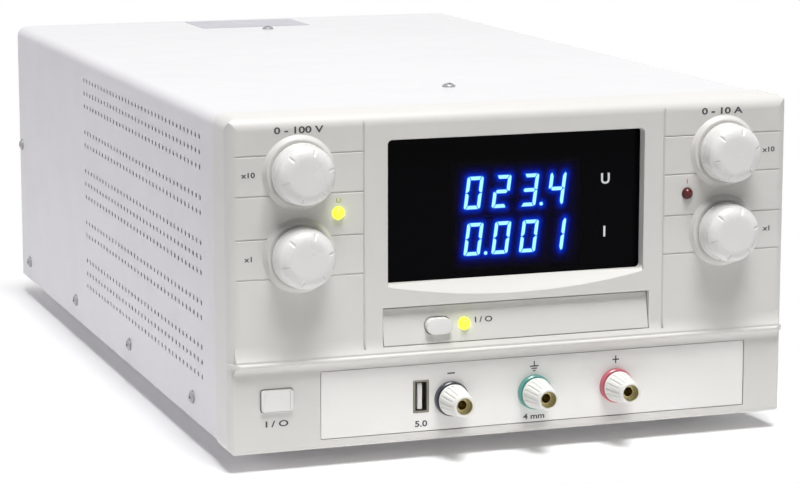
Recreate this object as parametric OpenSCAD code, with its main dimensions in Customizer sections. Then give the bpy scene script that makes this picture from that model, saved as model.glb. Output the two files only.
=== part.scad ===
// Bench laboratory power supply: a vented steel case with a moulded front, four knobs,
// a two-row number display, two push buttons and three binding posts.
// Millimetres. X runs to the right, Y to the back, Z up. The origin is on the bench,
// under the middle of the whole outline.

/* [Case] */
// Width of the moulded front bezel
bezel_w = 255; // [249:1:275]
// Height of the bezel, without the feet
bezel_h = 142; // [140:1:160]
// Depth of the bezel from its front face to the case
bezel_d = 20.5; // [20:0.5:26]
// Depth from the front face to the back edge of the case
body_d = 430; // [400:5:500]
// Gap between the bezel's lower edge and the bench
ground_gap = 8; // [4:0.5:16]
// How far the steel cover stands in from the bezel at the top and the sides
cover_inset = 0.9; // [0.5:0.1:1.4]
// How far the case bottom lies above the bezel's lower edge
base_rise = 2.4; // [2:0.1:3.4]
// Thickness of the folded cover
cover_t = 1.2; // [0.8:0.1:1.6]
// Thickness of the floor, the panels and the brackets
panel_t = 1.5; // [1:0.1:2]
// Bend radius of the cover's and the bezel's long upper edges
edge_r = 5.5; // [4:0.5:8]
// How far the back panel is set in from the cover's back edge
rear_inset = 1.5; // [1:0.1:4]
// Height of the floor's side flanges
floor_flange_h = 24; // [20:1:34]
// Play between the folded sheets
sheet_play = 0.2; // [0.1:0.05:0.4]

/* [Bezel relief] */
// Wall of the moulded bezel
bezel_wall = 2.5; // [2:0.1:3]
// Radius of the bezel's upright front edges
bezel_side_r = 5; // [3:0.5:5.5]
// Radius of the bezel's corners seen from the front
bezel_corner_r = 4; // [2:0.5:6]
// Height of the lip's nose above the bezel's lower edge
lip_z = 38.4; // [37:0.2:40]
// How far the lip stands out of the upper face
lip_out = 2.5; // [1.5:0.1:3]
// Radius of the lip's nose
nose_r = 1; // [0.6:0.1:1.2]
// Height at which the upper face starts to flare out to the lip
flare_top = 46; // [45:0.5:50]
// Radius of the hollow flare above the lip
flare_r = 11.5; // [11:0.5:14]
// Radius of the cove below the lip
cove_r = 4; // [3:0.5:5]
// How far the lower face lies behind the upper face
lower_set = 1; // [0.4:0.1:1.6]
// Distance of the upright grooves from the bezel's sides
zone_side = 59.1; // [56.6:0.2:61.5]
// Distance of the level grooves' outer ends from the bezel's sides
groove_end_side = 3.2; // [3.1:0.1:9.5]
// Width of the shallow grooves
groove_w = 0.9; // [0.5:0.1:1.4]
// Depth of the shallow grooves
groove_deep = 0.5; // [0.3:0.1:0.8]
// Distance of a level groove above or below its knob's height
groove_step = 8.4; // [6:0.2:10]

/* [Display] */
// Distance of the display opening from the bezel's sides
window_side = 69; // [67.5:0.5:71.5]
// Distance of the display opening from the bezel's upper edge
window_head = 11.8; // [11:0.2:13.4]
// Middle of the display opening, to the right of the bezel's middle
window_x = 0.6; // [-2:0.2:2]
// Lower edge of the visible window above the bezel's lower edge
window_low = 68.8; // [68:0.2:70]
// Corner radius of the display opening
window_r = 2; // [1:0.5:4]
// Depth of the window's surface behind the front face
window_deep = 5; // [4:0.2:5.4]
// Thickness of the smoked window
window_t = 2; // [1.5:0.1:2.4]
// Height of the scooped sill below the middle of the window
sill_h = 6.7; // [4:0.1:7]
// How far the sill's front edge bows up towards its ends
sill_bow = 5.7; // [2:0.1:6.4]
// Border of the window glued behind the bezel's frame
window_border = 3.5; // [2:0.5:5]
// Height of one digit
digit_h = 14.2; // [12:0.1:14.6]
// Width of one digit
digit_w = 7.6; // [6:0.1:7.8]
// Distance from one digit to the next
digit_pitch = 12.7; // [12.3:0.1:13.4]
// Width of a digit's bars
bar_w = 1.7; // [1.2:0.1:2.1]
// Lean of the digits, in degrees
digit_lean = 7.5; // [0:0.5:12]
// Distance between the two rows of digits
row_pitch = 20; // [19.4:0.1:21]
// Middle of the digit rows, to the right of the bezel's middle
display_x = 2.7; // [-4:0.1:4]
// How far the middle of the two rows lies below the window's middle
display_drop = 4.7; // [2.5:0.1:7.5]
// Height of one display module
module_h = 19; // [18:0.1:19.2]
// Depth of one display module
module_d = 8; // [6:0.5:9]
// Thickness of the lit bars on the module's face
bar_t = 0.3; // [0.2:0.05:0.5]

/* [Knobs] */
// Distance of the knobs from the bezel's sides
knob_side = 30.9; // [29.5:0.1:33.5]
// Distance of the upper knobs from the bezel's upper edge
knob_head = 23.5; // [22:0.5:24]
// Distance of the lower knobs below the upper ones
knob_pitch = 34.8; // [34.2:0.2:38]
// Largest diameter of a knob
knob_d = 25.8; // [22:0.2:26.4]
// Length of a knob
knob_l = 11.2; // [9.2:0.2:14]
// Diameter of a knob's flat front disc
knob_face_d = 17.6; // [14:0.2:19]
// Number of grip dimples on a knob's shoulder
knob_dimples = 6; // [4:1:10]
// Diameter of the moulded collar at the bezel's face
collar_d = 31.6; // [30.2:0.2:33.4]
// Diameter of the moulded collar at its front rim
collar_top_d = 29.6; // [28:0.2:30]
// Height of the moulded collar
collar_h = 2.4; // [2:0.1:4.5]
// Rounding of the collar's rim
collar_round = 1.1; // [0.6:0.1:1.5]
// Gap between a knob and its collar
knob_gap = 0.7; // [0.3:0.1:1]
// Diameter of the shafts that carry the knobs
shaft_d = 6; // [5:0.1:6.4]
// Depth of the flat on a shaft
shaft_flat = 1.5; // [1:0.1:2]
// Diameter of a control's body behind the panel
pot_d = 16; // [14:0.5:20]
// Diameter of a control's threaded bush
bush_d = 8; // [7.6:0.1:9]

/* [Posts] */
// Distance from one binding post to the next
post_pitch = 38.2; // [30:0.2:42]
// Middle post, to the right of the bezel's middle
post_x = 9.2; // [0:0.2:16]
// Height of the posts above the bezel's lower edge
post_z = 17.6; // [16:0.2:20]
// Diameter of the coloured ring at a post's foot
ring_d = 15; // [13:0.2:16.4]
// Height of the coloured ring in front of the plate
ring_h = 2.2; // [1.5:0.1:4]
// Diameter of a post's stem
stem_d = 6; // [5.6:0.1:7]
// Diameter of the plug bore in a stem
plug_bore_d = 4; // [3.8:0.05:4.2]
// Depth of the plug bore
plug_bore_l = 13.5; // [12:0.5:16]
// Diameter of the loose clamp washer
washer_d = 11.6; // [10:0.2:13]
// Thickness of the clamp washer
washer_t = 1.2; // [0.8:0.1:1.6]
// Diameter of the cap at its foot
cap_d = 13.6; // [12:0.2:14.6]
// Diameter of the cap at its tip
cap_tip_d = 9.4; // [8.4:0.2:10.4]
// Length of the cap
cap_l = 13.1; // [11:0.1:16]
// Depth of the stem's end inside the cap's mouth
stem_recess = 3; // [1.5:0.1:4]
// Number of flutes on a cap
cap_flutes = 18; // [10:1:24]
// Length of stem behind the inner panel
stem_tail = 14; // [10:0.5:20]

/* [Lower plate and strip] */
// Distance of the inset plate's left end from the bezel's side
plate_left = 40.3; // [38.5:0.1:42]
// Distance of the inset plate's right end from the bezel's side
plate_right = 18.7; // [16:0.1:24]
// Height of the inset plate
plate_h = 28.9; // [28:0.1:29.4]
// Middle of the plate above the bezel's lower edge
plate_z = 18.8; // [18:0.1:19.2]
// Corner radius of the plate
plate_r = 0.4; // [0.2:0.1:2]
// Thickness of the plate
plate_t = 1.5; // [1:0.1:2]
// How far the plate lies below the lower face
plate_set = 0.3; // [0.1:0.1:0.6]
// Gap round the inset plate and the control strip
inset_gap = 0.3; // [0.2:0.05:0.5]
// Distance of the sloping control strip from the bezel's sides
strip_side = 66.7; // [65.5:0.1:69.5]
// Middle of the strip, to the right of the bezel's middle
strip_x = 1; // [-2:0.2:2]
// Height of the strip's lower edge above the bezel's lower edge
strip_z = 42.3; // [42:0.1:43]
// Height of the strip
strip_h = 16.4; // [15:0.1:17]
// Slope of the strip, in degrees
strip_slope = 11; // [8:0.5:12]
// Thickness of the strip
strip_t = 1.6; // [1.2:0.1:2]
// How far the strip's lower edge stands in front of the upper face
strip_out = 0.5; // [0:0.1:0.8]

/* [Buttons and lamps] */
// Width of the power button
power_w = 13.8; // [12:0.2:16]
// Height of the power button
power_h = 9.2; // [8:0.2:11]
// Distance of the power button from the bezel's left side
power_side = 20.8; // [19.5:0.1:23.5]
// Height of the power button above the bezel's lower edge
power_z = 22.8; // [18:0.2:25]
// How far the latched power button stands out of the lower face
power_out = 1.4; // [0.6:0.1:2.4]
// Width of the output button
output_w = 11.6; // [10:0.2:13]
// Height of the output button
output_h = 6.8; // [6:0.1:8]
// Distance of the output button from the strip's left end
output_in = 24.6; // [21.8:0.2:26.8]
// Height of the output button and its lamp above the bezel's lower edge
output_z = 49.9; // [49.8:0.1:50.6]
// How far the output button stands out of the upper face
output_out = 2.2; // [1:0.1:3]
// Gap round the buttons
button_gap = 0.35; // [0.25:0.05:0.5]
// Diameter of the lamps
lamp_d = 5; // [4:0.1:5.4]
// Distance of the output lamp from the output button
output_lamp_step = 12; // [10.2:0.2:15]
// Distance of the mode lamps from the bezel's sides
mode_lamp_side = 47.9; // [47.1:0.1:48.9]
// How far the mode lamps lie below the middle between the knobs
mode_lamp_drop = 0.4; // [-0.3:0.1:1.1]
// How far a lamp stands out of its face
lamp_out = 2.4; // [1:0.1:3]

/* [Charging socket] */
// Distance of the charging socket from the left post
usb_step = 13.6; // [12.6:0.2:17]
// Height of the charging socket above the bezel's lower edge
usb_z = 19.4; // [18:0.1:20]
// Width of the cut-out in the plate
usb_cut_w = 7.2; // [7.1:0.1:8]
// Height of the cut-out in the plate
usb_cut_h = 14.3; // [14.2:0.1:15]

/* [Vents] */
// Diameter of a vent hole
vent_d = 2.5; // [1.5:0.1:3.4]
// Distance between vent columns
vent_pitch_y = 6.28; // [5.5:0.02:6.6]
// Height of the lowest row above the bezel's lower edge
vent_low = 24.7; // [22:0.1:36]
// Number of vent columns
vent_columns = 36; // [10:1:44]
// Distance from the front face to the first column
vent_y = 46; // [40:0.5:60]
// Distance of the top row from the bezel's upper edge
vent_head = 13; // [11:0.5:16]

/* [Screws] */
// Diameter of the case screws' heads
screw_head_d = 6; // [5:0.1:6.4]
// Height of the case screws' heads
screw_head_h = 1.8; // [1.2:0.1:2.4]
// Thread diameter of the case screws
screw_d = 3; // [2.5:0.1:3.5]
// Length of a case screw's thread
screw_l = 6; // [4.5:0.5:8]
// Distance from the front face to the first side screw
side_screw_y = 62.3; // [50:0.1:80]
// Distance from the last side screw to the back edge
side_screw_end = 20.6; // [14:0.1:60]
// Height of the side screws above the bezel's lower edge
side_screw_z = 12.3; // [9:0.1:16]
// Distance of the upper screw at the back from the bezel's upper edge
rear_screw_head = 66; // [42:1:82]
// Distance of the rear side screws from the back edge
rear_screw_in = 6; // [5:0.5:8]
// Distance from the front face to the front screw on top
top_screw_y = 83.8; // [70:0.1:110]
// Distance from the rear screw on top to the back edge
top_screw_end = 59.7; // [56:0.1:61]

/* [Feet] */
// Diameter of a foot on the bench
foot_d = 18; // [14:0.5:24]
// Distance of the feet from the case's sides
foot_inset_x = 32; // [26:1:60]
// Distance of the feet from the front face and the back edge
foot_inset_y = 47; // [34:1:47]
// Depth of the pocket for the foot's screw
foot_pocket = 4; // [3:0.5:6]

/* [Back] */
// Width and height of the fan's frame
fan_w = 92; // [80:1:92]
// Depth of the fan
fan_d = 25; // [20:1:38]
// Distance between the fan's mounting holes
fan_pitch = 82.5; // [71.5:0.5:82.5]
// Distance of the fan's middle from the bezel's right side
fan_side = 75.5; // [67.5:0.5:87.5]
// Height of the fan's middle above the bezel's lower edge
fan_z = 71; // [60:1:80]
// Number of fan blades
fan_blades = 7; // [5:1:9]
// Wire of the finger guard
guard_wire = 1.6; // [1.2:0.1:2]
// Number of rings in the finger guard
guard_rings = 6; // [3:1:7]
// Distance of the mains inlet's middle from the bezel's left side
inlet_side = 49.5; // [39.5:0.5:67.5]
// Height of the mains inlet above the bezel's lower edge
inlet_z = 46; // [40:1:90]
// Width of the inlet's cavity
inlet_cavity_w = 24.4; // [24:0.1:25]
// Height of the inlet's cavity
inlet_cavity_h = 16.6; // [16:0.1:17]
// Depth of the inlet's cavity
inlet_cavity_l = 17; // [15:0.5:19]
// Height of the fuse drawer below the cavity
fuse_drawer_h = 9; // [8:0.2:11]
// Length of the fuse drawer
fuse_drawer_l = 26; // [24:0.5:28]

/* [Inside] */
// Distance of the main circuit board from the bezel's sides
board_side = 25; // [18:0.5:32]
// Distance of the main circuit board from the back edge of the case
board_end = 70; // [69:1:80]
// Distance from the front face to the main circuit board
board_y = 50; // [45:1:70]
// Thickness of the circuit boards
board_t = 1.6; // [1:0.1:2]
// Height of the standoffs below the main board
standoff_h = 8; // [5:0.5:12]
// Length of the heat sinks
sink_l = 150; // [110:1:170]
// Height of the heat sinks
sink_h = 85; // [60:1:100]
// Number of fins on a heat sink
sink_fins = 12; // [8:1:13]
// Diameter of the mains capacitors
bulk_d = 35; // [25:1:36]
// Height of the mains capacitors
bulk_h = 50; // [35:1:70]
// Width of the transformer
core_w = 58; // [50:1:64]
// Distance of the transformer behind the board's front edge
core_in = 150; // [130:1:180]

/* [Hidden] */
$fn = 64;
eps = 0.01;
round_clear = 0.05;
slide_clear = 0.1;

// Case, worked out from the sizes above
cover_w = bezel_w - 2 * cover_inset;
cover_top = bezel_h - cover_inset;
cover_y = bezel_d + sheet_play;
inner_w = cover_w - 2 * cover_t;
inner_top = cover_top - cover_t;
floor_top = base_rise + panel_t;
rear_y = body_d - rear_inset;
bezel_inner_w = bezel_w - 2 * bezel_wall;
bezel_inner_top = bezel_h - bezel_wall;

// Places on the front, worked out from the sizes above
zone_x = bezel_w / 2 - zone_side;
groove_end_x = bezel_w / 2 - groove_end_side;
window_w = bezel_w - 2 * window_side;
window_h = bezel_h - window_head - window_low;
window_z = window_low + window_h / 2;
display_z = window_z - display_drop;
knob_x = bezel_w / 2 - knob_side;
knob_high_z = bezel_h - knob_head;
knob_low_z = knob_high_z - knob_pitch;
mode_lamp_x = bezel_w / 2 - mode_lamp_side;
mode_lamp_z = knob_high_z - knob_pitch / 2 - mode_lamp_drop;
strip_w = bezel_w - 2 * strip_side;
output_x = strip_w / 2 - strip_x - output_in;
output_lamp_x = output_x - output_lamp_step;
plate_w = bezel_w - plate_left - plate_right;
plate_x = (plate_left - plate_right) / 2;
power_x = bezel_w / 2 - power_side;
usb_x = post_pitch - post_x + usb_step;

// Layers behind the front face
window_back = window_deep + window_t;
panel_y = window_back + 1.5;
panel_back = panel_y + panel_t;
module_y = window_back + bar_t + 0.3;
front_board_y = module_y + module_d;
plate_face = lower_set + plate_set;
plate_back = plate_face + plate_t;
plate_seat = plate_back + 2;
strip_seat_t = 2;

// Fronts of the knobs and posts
knob_y = -collar_h - knob_gap;
knob_reach = knob_l - knob_y;
washer_y = plate_face - ring_h - slide_clear;
cap_y = washer_y - washer_t - slide_clear;
cap_reach = cap_l - cap_y;
front_reach = max(knob_reach, cap_reach);
fan_head_h = 2.4;
rear_reach = max(0, 2 * guard_wire + fan_head_h - rear_inset);
front_y = (front_reach - body_d - rear_reach) / 2;

// Everything is drawn with Y = 0 on the front face and Z = 0 at the bezel's lower edge.
module in_body() {
    translate([0, front_y, ground_gap]) children();
}

// A front view drawn in X and Z, made solid from depth y0 to y1
module slab(y0, y1) {
    translate([0, y1, 0]) rotate([90, 0, 0]) linear_extrude(y1 - y0) children();
}

// A side view drawn in Y and Z, made solid over a width about the middle
module side_slab(w) {
    rotate([90, 0, 90]) linear_extrude(w, center = true) children();
}

// A turned piece whose height runs forwards from depth y
module forward(x, y, z) {
    translate([x, y, z]) rotate([90, 0, 0]) children();
}

module rounded(w, h, r) {
    square([w - 2 * r, h], center = true);
    square([w, h - 2 * r], center = true);
    for (sx = [-1, 1], sz = [-1, 1])
        translate([sx * (w / 2 - r), sz * (h / 2 - r)]) circle(r);
}

// Round only at the upper corners, standing on its base line
module top_rounded(w, h, r) {
    translate([-w / 2, 0]) square([w, h - r]);
    translate([r - w / 2, 0]) square([w - 2 * r, h]);
    for (s = [-1, 1]) translate([s * (w / 2 - r), h - r]) circle(r);
}

module pill(w, h) {
    square([w - h, h], center = true);
    for (s = [-1, 1]) translate([s * (w - h) / 2, 0]) circle(d = h);
}

module knob_places() {
    for (s = [-1, 1], z = [knob_high_z, knob_low_z]) translate([s * knob_x, z]) children();
}

module post_places() {
    for (i = [-1:1]) translate([post_x + i * post_pitch, post_z]) children();
}

module mode_lamp_places() {
    for (s = [-1, 1]) translate([s * mode_lamp_x, mode_lamp_z]) children();
}

// Bosses that hold the bezel to the inner panel
boss_d = 7;
boss_screw_d = 3;
boss_x = bezel_w / 2 - 9.5;
boss_head = bezel_h - 10;
boss_places = [
    [-boss_x, boss_head], [boss_x, boss_head], [-boss_x, flare_top], [boss_x, flare_top],
    [28 - boss_x, floor_top + 5], [boss_x, floor_top + 10.1]
];

module boss_places_2d() {
    for (p = boss_places) translate(p) children();
}

// Front bezel

module bezel_plan() {
    corner_x = bezel_w / 2 - bezel_side_r;
    linear_extrude(bezel_h + 1) {
        translate([-bezel_w / 2, bezel_side_r]) square([bezel_w, bezel_d - bezel_side_r]);
        translate([-corner_x, -lip_out]) square([2 * corner_x, bezel_d + lip_out]);
        for (s = [-1, 1]) translate([s * corner_x, bezel_side_r]) circle(bezel_side_r);
    }
    // Rounded ends of the lip, its nose carried on round the corner
    for (s = [-1, 1]) {
        linear_extrude(flare_top) translate([s * corner_x, 0]) circle(lip_out);
        translate([s * (corner_x - 1), bezel_side_r + 1 - lip_out, lip_z - nose_r])
            cylinder(r = bezel_side_r + 1, h = 2 * nose_r);
    }
}

// Side view of the bezel: upper face, flared lip, cove and lower face
module bezel_profile() {
    cove_z = lip_z - nose_r - cove_r + 0.3;
    difference() {
        union() {
            translate([0, lip_z]) square([bezel_d, bezel_h - lip_z - edge_r]);
            translate([edge_r, bezel_h - edge_r - eps]) square([bezel_d - edge_r, edge_r + eps]);
            translate([edge_r, bezel_h - edge_r]) circle(edge_r);
            translate([lower_set, 2]) square([bezel_d - lower_set, lip_z]);
            translate([lower_set + 2, 0]) square([bezel_d - lower_set - 2, 3]);
            translate([lower_set + 2, 2]) circle(2);
            translate([nose_r - lip_out, cove_z])
                square([lip_out + lower_set, flare_top - cove_z]);
        }
        translate([-flare_r, flare_top]) circle(flare_r);
        translate([lower_set - cove_r, cove_z]) circle(cove_r);
    }
    translate([nose_r - lip_out, lip_z]) circle(nose_r);
}

module bezel_front_view() {
    translate([0, bezel_h / 2]) difference() {
        square([bezel_w, bezel_h], center = true);
        for (sx = [-1, 1]) {
            translate([sx * bezel_w / 2, bezel_h / 2]) corner_cut(sx, 1, edge_r);
            translate([sx * bezel_w / 2, -bezel_h / 2]) corner_cut(sx, -1, bezel_corner_r);
        }
    }
}

// What a corner of radius r loses to its rounding
module corner_cut(sx, sz, r) {
    difference() {
        square([2 * r, 2 * r], center = true);
        translate([-sx * r, -sz * r]) circle(r);
    }
}

module bezel_shell() {
    difference() {
        intersection() {
            slab(-lip_out - 1, bezel_d) bezel_front_view();
            side_slab(bezel_w + 2) bezel_profile();
            bezel_plan();
        }
        slab(bezel_wall, bezel_d + 1) translate([0, bezel_h / 2]) difference() {
            square([bezel_inner_w, bezel_h - 2 * bezel_wall], center = true);
            for (sx = [-1, 1])
                translate([sx * bezel_inner_w / 2, bezel_h / 2 - bezel_wall])
                    corner_cut(sx, 1, edge_r - bezel_wall);
        }
    }
}

module strip_frame() {
    translate([strip_x, -strip_out, strip_z]) rotate([-strip_slope, 0, 0]) children();
}

module front_openings() {
    // Display opening and its scooped sill
    rise = atan(sill_h / window_deep);
    sill_r = pow(window_w / 2, 2) / (2 * sill_bow * cos(rise));
    slab(-1, window_deep + 1) translate([window_x, window_z])
        rounded(window_w, window_h, window_r);
    intersection() {
        slab(-1, window_deep) translate([window_x, window_low])
            square([window_w, 4 * sill_h], center = true);
        translate([window_x, window_deep, window_low]) rotate([rise - 90, 0, 0])
            translate([0, -sill_r, 0]) cylinder(r = sill_r, h = bezel_h, center = true);
    }
    // Pocket and passages for the control strip
    strip_frame() {
        translate([-strip_w / 2 - inset_gap, -12, 0])
            cube([strip_w + 2 * inset_gap, 12 + strip_t, strip_h]);
        translate([-strip_w / 2 + 2, 0, 2]) cube([strip_w - 4, 12, strip_h - 4]);
    }
    // Pocket for the lower plate, and the openings behind it
    slab(-lip_out - 1, plate_back) translate([plate_x, plate_z])
        rounded(plate_w + 2 * inset_gap, plate_h + 2 * inset_gap, plate_r + inset_gap);
    slab(0, plate_seat + 1) {
        post_places() circle(d = neck_d + 2 * slide_clear);
        translate([-usb_x, usb_z]) square([usb_cut_w + 2, usb_cut_h + 2], center = true);
    }
    slab(0, panel_y) translate([-power_x, power_z])
        rounded(power_w + 2 * button_gap, power_h + 2 * button_gap, 1.5);
    // Shaft and lamp holes
    slab(-collar_h - 1, bezel_wall + 1) {
        knob_places() circle(d = bush_d + 0.6);
        mode_lamp_places() circle(d = lamp_d + 2 * slide_clear);
    }
}

module groove(l) {
    w = groove_w / 2;
    linear_extrude(l) polygon([
        [-w, -lip_out - 1], [w, -lip_out - 1], [w, 0], [0, groove_deep], [-w, 0]
    ]);
}

module level_grooves() {
    for (x = [-groove_end_x, zone_x], z = [knob_high_z, knob_low_z], dz = [-1, 1])
        translate([x, 0, z - 0.9 + dz * groove_step])
            rotate([0, 90, 0]) groove(groove_end_x - zone_x);
}

module zone_grooves() {
    groove_foot = strip_z - 0.6;
    groove_head = bezel_h - 3.6;
    for (s = [-1, 1]) translate([s * zone_x, 0, groove_foot]) groove(groove_head - groove_foot);
}

module collar() {
    rotate_extrude() difference() {
        union() {
            polygon([
                [0, -groove_deep - eps], [collar_d / 2, -groove_deep - eps], [collar_d / 2, 0],
                [collar_top_d / 2, collar_h - collar_round],
                [collar_top_d / 2 - collar_round, collar_h], [0, collar_h]
            ]);
            translate([collar_top_d / 2 - collar_round, collar_h - collar_round])
                circle(collar_round);
        }
        translate([-collar_d, -collar_d]) square([collar_d, 3 * collar_d]);
    }
}

module front_bezel() {
    color("whitesmoke") in_body() difference() {
        union() {
            difference() {
                bezel_shell();
                level_grooves();
                zone_grooves();
            }
            knob_places_3d() collar();
            // Frame behind the display opening
            slab(bezel_wall - eps, window_deep) translate([window_x, window_z])
                translate([0, -sill_h / 2])
                    square([window_w + 5, window_h + 5 + sill_h], center = true);
            // Seats of the strip and of the lower plate
            intersection() {
                strip_frame() translate([-strip_w / 2 - 2, -3, -1.5])
                    cube([strip_w + 4, 3 + strip_t + strip_seat_t, strip_h + 3]);
                slab(1, panel_y) translate([0, bezel_h / 2])
                    square([bezel_inner_w, bezel_h - 4], center = true);
            }
            slab(bezel_wall - eps, plate_seat) translate([plate_x, plate_z])
                square([plate_w + 5, plate_h + 4], center = true);
            // Guide round the power button
            slab(bezel_wall - eps, panel_y - 1) translate([-power_x, power_z])
                rounded(power_w + 5, power_h + 5, 2);
            // Bosses for the panel screws
            slab(bezel_wall - eps, panel_y) boss_places_2d() circle(d = boss_d);
            // Stiffening ribs behind the knob fields
            for (s = [-1, 1], x = [zone_x + 4, knob_x, groove_end_x - 5])
                slab(bezel_wall - eps, panel_y - 2) translate([s * x - 0.75, flare_top + 2])
                    square([1.5, bezel_inner_top - flare_top - 3]);
        }
        front_openings();
        slab(bezel_wall - eps, panel_y - 1) knob_places() circle(d = pot_d + 1);
        slab(bezel_wall - eps, panel_y + 1) mode_lamp_places() circle(d = lamp_d + 3);
        slab(bezel_wall, panel_y + 1) boss_places_2d() circle(d = boss_screw_d - 0.5);
    }
}

module knob_places_3d() {
    for (s = [-1, 1], z = [knob_high_z, knob_low_z]) forward(s * knob_x, 0, z) children();
}

// Lower plate, strip and window

neck_d = stem_d + 2.4;

module terminal_plate() {
    color("ivory") in_body() slab(plate_face, plate_back) difference() {
        translate([plate_x, plate_z]) rounded(plate_w, plate_h, plate_r);
        post_places() circle(d = neck_d + 2 * slide_clear);
        translate([-usb_x, usb_z]) rounded(usb_cut_w, usb_cut_h, 0.4);
    }
}

module control_strip() {
    color("whitesmoke") in_body() difference() {
        strip_frame() translate([-strip_w / 2, 0, inset_gap])
            cube([strip_w, strip_t, strip_h - 2 * inset_gap]);
        slab(-3, 9) {
            translate([-output_x, output_z])
                pill(output_w + 2 * button_gap, output_h + 2 * button_gap);
            translate([-output_lamp_x, output_z]) circle(d = lamp_d + 2 * slide_clear);
        }
    }
}

module display_window() {
    color("black", 0.6) in_body() slab(window_deep, window_back)
        translate([window_x, window_z])
            rounded(window_w + 2 * window_border, window_h + 2 * window_border - 2, 2);
}

// Number display

module_w = 4 * digit_pitch - 0.5;

module display_modules() {
    color("dimgray") in_body() for (s = [-1, 1])
        slab(module_y, front_board_y) translate([display_x, display_z + s * row_pitch / 2])
            square([module_w, module_h], center = true);
}

// Outlines of a digit's bars, mitred at the corners, before the digit leans
half_w = digit_w / 2;
half_h = digit_h / 2;
bar_gap = 0.2;
bar_cut = 0.8;
level_bar = [
    [bar_cut + bar_gap - half_w, half_h], [half_w - bar_cut - bar_gap, half_h],
    [half_w - bar_w - bar_gap, half_h - bar_w], [bar_w + bar_gap - half_w, half_h - bar_w]
];
upright_bar = [
    [half_w - bar_w, half_h - bar_w], [half_w - bar_cut, half_h], [half_w, half_h - bar_cut],
    [half_w, bar_gap / 2], [half_w - bar_w / 2, bar_gap / 2],
    [half_w - bar_w, (bar_w + bar_gap) / 2]
];
middle_bar = [
    [bar_w / 2 + bar_gap - half_w, 0], [bar_w - half_w, bar_w / 2], [half_w - bar_w, bar_w / 2],
    [half_w - bar_w / 2 - bar_gap, 0], [half_w - bar_w, -bar_w / 2], [bar_w - half_w, -bar_w / 2]
];

// Outline and signs in X and Z of the bars, in the order top, upper right, lower right,
// bottom, lower left, upper left, middle
bars = [
    [level_bar, 1, 1], [upright_bar, 1, 1], [upright_bar, 1, -1], [level_bar, 1, -1],
    [upright_bar, -1, -1], [upright_bar, -1, 1], [middle_bar, 1, 1]
];

// Which bars show each figure from 0 to 4
figure_bars = [[0, 1, 2, 3, 4, 5], [1, 2], [0, 1, 6, 4, 3], [0, 1, 6, 2, 3], [5, 6, 1, 2]];
upper_figures = [0, 2, 3, 4];
lower_figures = [0, 0, 0, 1];
upper_point = 2;
lower_point = 0;

module digit(figure) {
    for (i = figure_bars[figure]) polygon([
        for (p = bars[i][0])
            [bars[i][1] * p[0] + tan(digit_lean) * bars[i][2] * p[1], bars[i][2] * p[1]]
    ]);
}

module digit_row(figures, point) {
    for (i = [0:3]) translate([(i - 1.5) * digit_pitch - 0.4, 0]) digit(figures[i]);
    translate([(point - 1) * digit_pitch - 1.2, (bar_w - digit_h) / 2]) circle(d = bar_w);
}

module digit_bars() {
    color("deepskyblue") in_body() slab(module_y - bar_t, module_y)
        translate([display_x, display_z]) {
            translate([0, row_pitch / 2]) digit_row(upper_figures, upper_point);
            translate([0, -row_pitch / 2]) digit_row(lower_figures, lower_point);
        }
}

// Boards and panel behind the bezel

front_board_w = 2 * (knob_x + 18);
front_board_z = strip_z + 3;
front_board_top = bezel_inner_top - 4;
spacer_d = 6.5;
spacer_x = bezel_w / 2 - 17.5;
spacer_head = bezel_h - 14;
spacer_low = strip_z + 19.7;
spacer_places = [
    [-spacer_x, spacer_head], [spacer_x, spacer_head], [-spacer_x, spacer_low],
    [spacer_x, spacer_low], [2.4 - zone_x, spacer_head], [zone_x - 2.4, spacer_low - 2]
];

module spacer_places_2d() {
    for (p = spacer_places) translate(p) children();
}

module control_board() {
    color("darkgreen") in_body() slab(front_board_y, front_board_y + board_t) difference() {
        union() {
            translate([-front_board_w / 2, front_board_z])
                square([front_board_w, front_board_top - front_board_z]);
            translate([-usb_x - 9, floor_top + 2]) square([17, front_board_z - floor_top]);
        }
        spacer_places_2d() circle(d = screw_d + 0.4);
    }
}

// Six-sided spacers, in front of the control board and below the main board
module board_spacers() {
    color("goldenrod") in_body() {
        slab(panel_back, front_board_y) difference() {
            spacer_places_2d() circle(d = spacer_d, $fn = 6);
            spacer_places_2d() circle(d = tap_d);
        }
        standoff_places() translate([0, 0, floor_top]) linear_extrude(standoff_h) difference() {
            circle(d = spacer_d, $fn = 6);
            circle(d = tap_d);
        }
    }
}

module inner_panel_openings() {
    knob_places() circle(d = bush_d + 2 * slide_clear);
    mode_lamp_places() circle(d = lamp_d + 2);
    post_places() circle(d = neck_d + 2 * slide_clear);
    spacer_places_2d() circle(d = screw_d);
    boss_places_2d() circle(d = boss_screw_d + 0.4);
    translate([display_x, display_z])
        square([module_w + 1, row_pitch + module_h + 1], center = true);
    translate([-output_x, output_z]) square([output_w + 3, output_h + 3], center = true);
    translate([-output_lamp_x, output_z]) circle(d = lamp_d + 2);
    translate([-usb_x, usb_z]) square([usb_cut_w + 2, usb_cut_h + 2], center = true);
    translate([-power_x, power_z]) square([power_w + 2, power_h + 2], center = true);
}

panel_w = bezel_inner_w - 1;
panel_top = bezel_inner_top - sheet_play;
panel_flange = 14;

module inner_panel() {
    color("silver") in_body() {
        slab(panel_y, panel_back) difference() {
            translate([-panel_w / 2, floor_top]) square([panel_w, panel_top - floor_top]);
            inner_panel_openings();
            for (s = [-1, 1]) translate([s * panel_w / 2, panel_top]) corner_cut(s, 1, edge_r);
        }
        for (z = [floor_top, panel_top - panel_t]) translate([edge_r - inner_w / 2, panel_back - eps, z])
            cube([inner_w - 2 * edge_r, bezel_d + panel_flange - panel_back, panel_t]);
    }
}

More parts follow.
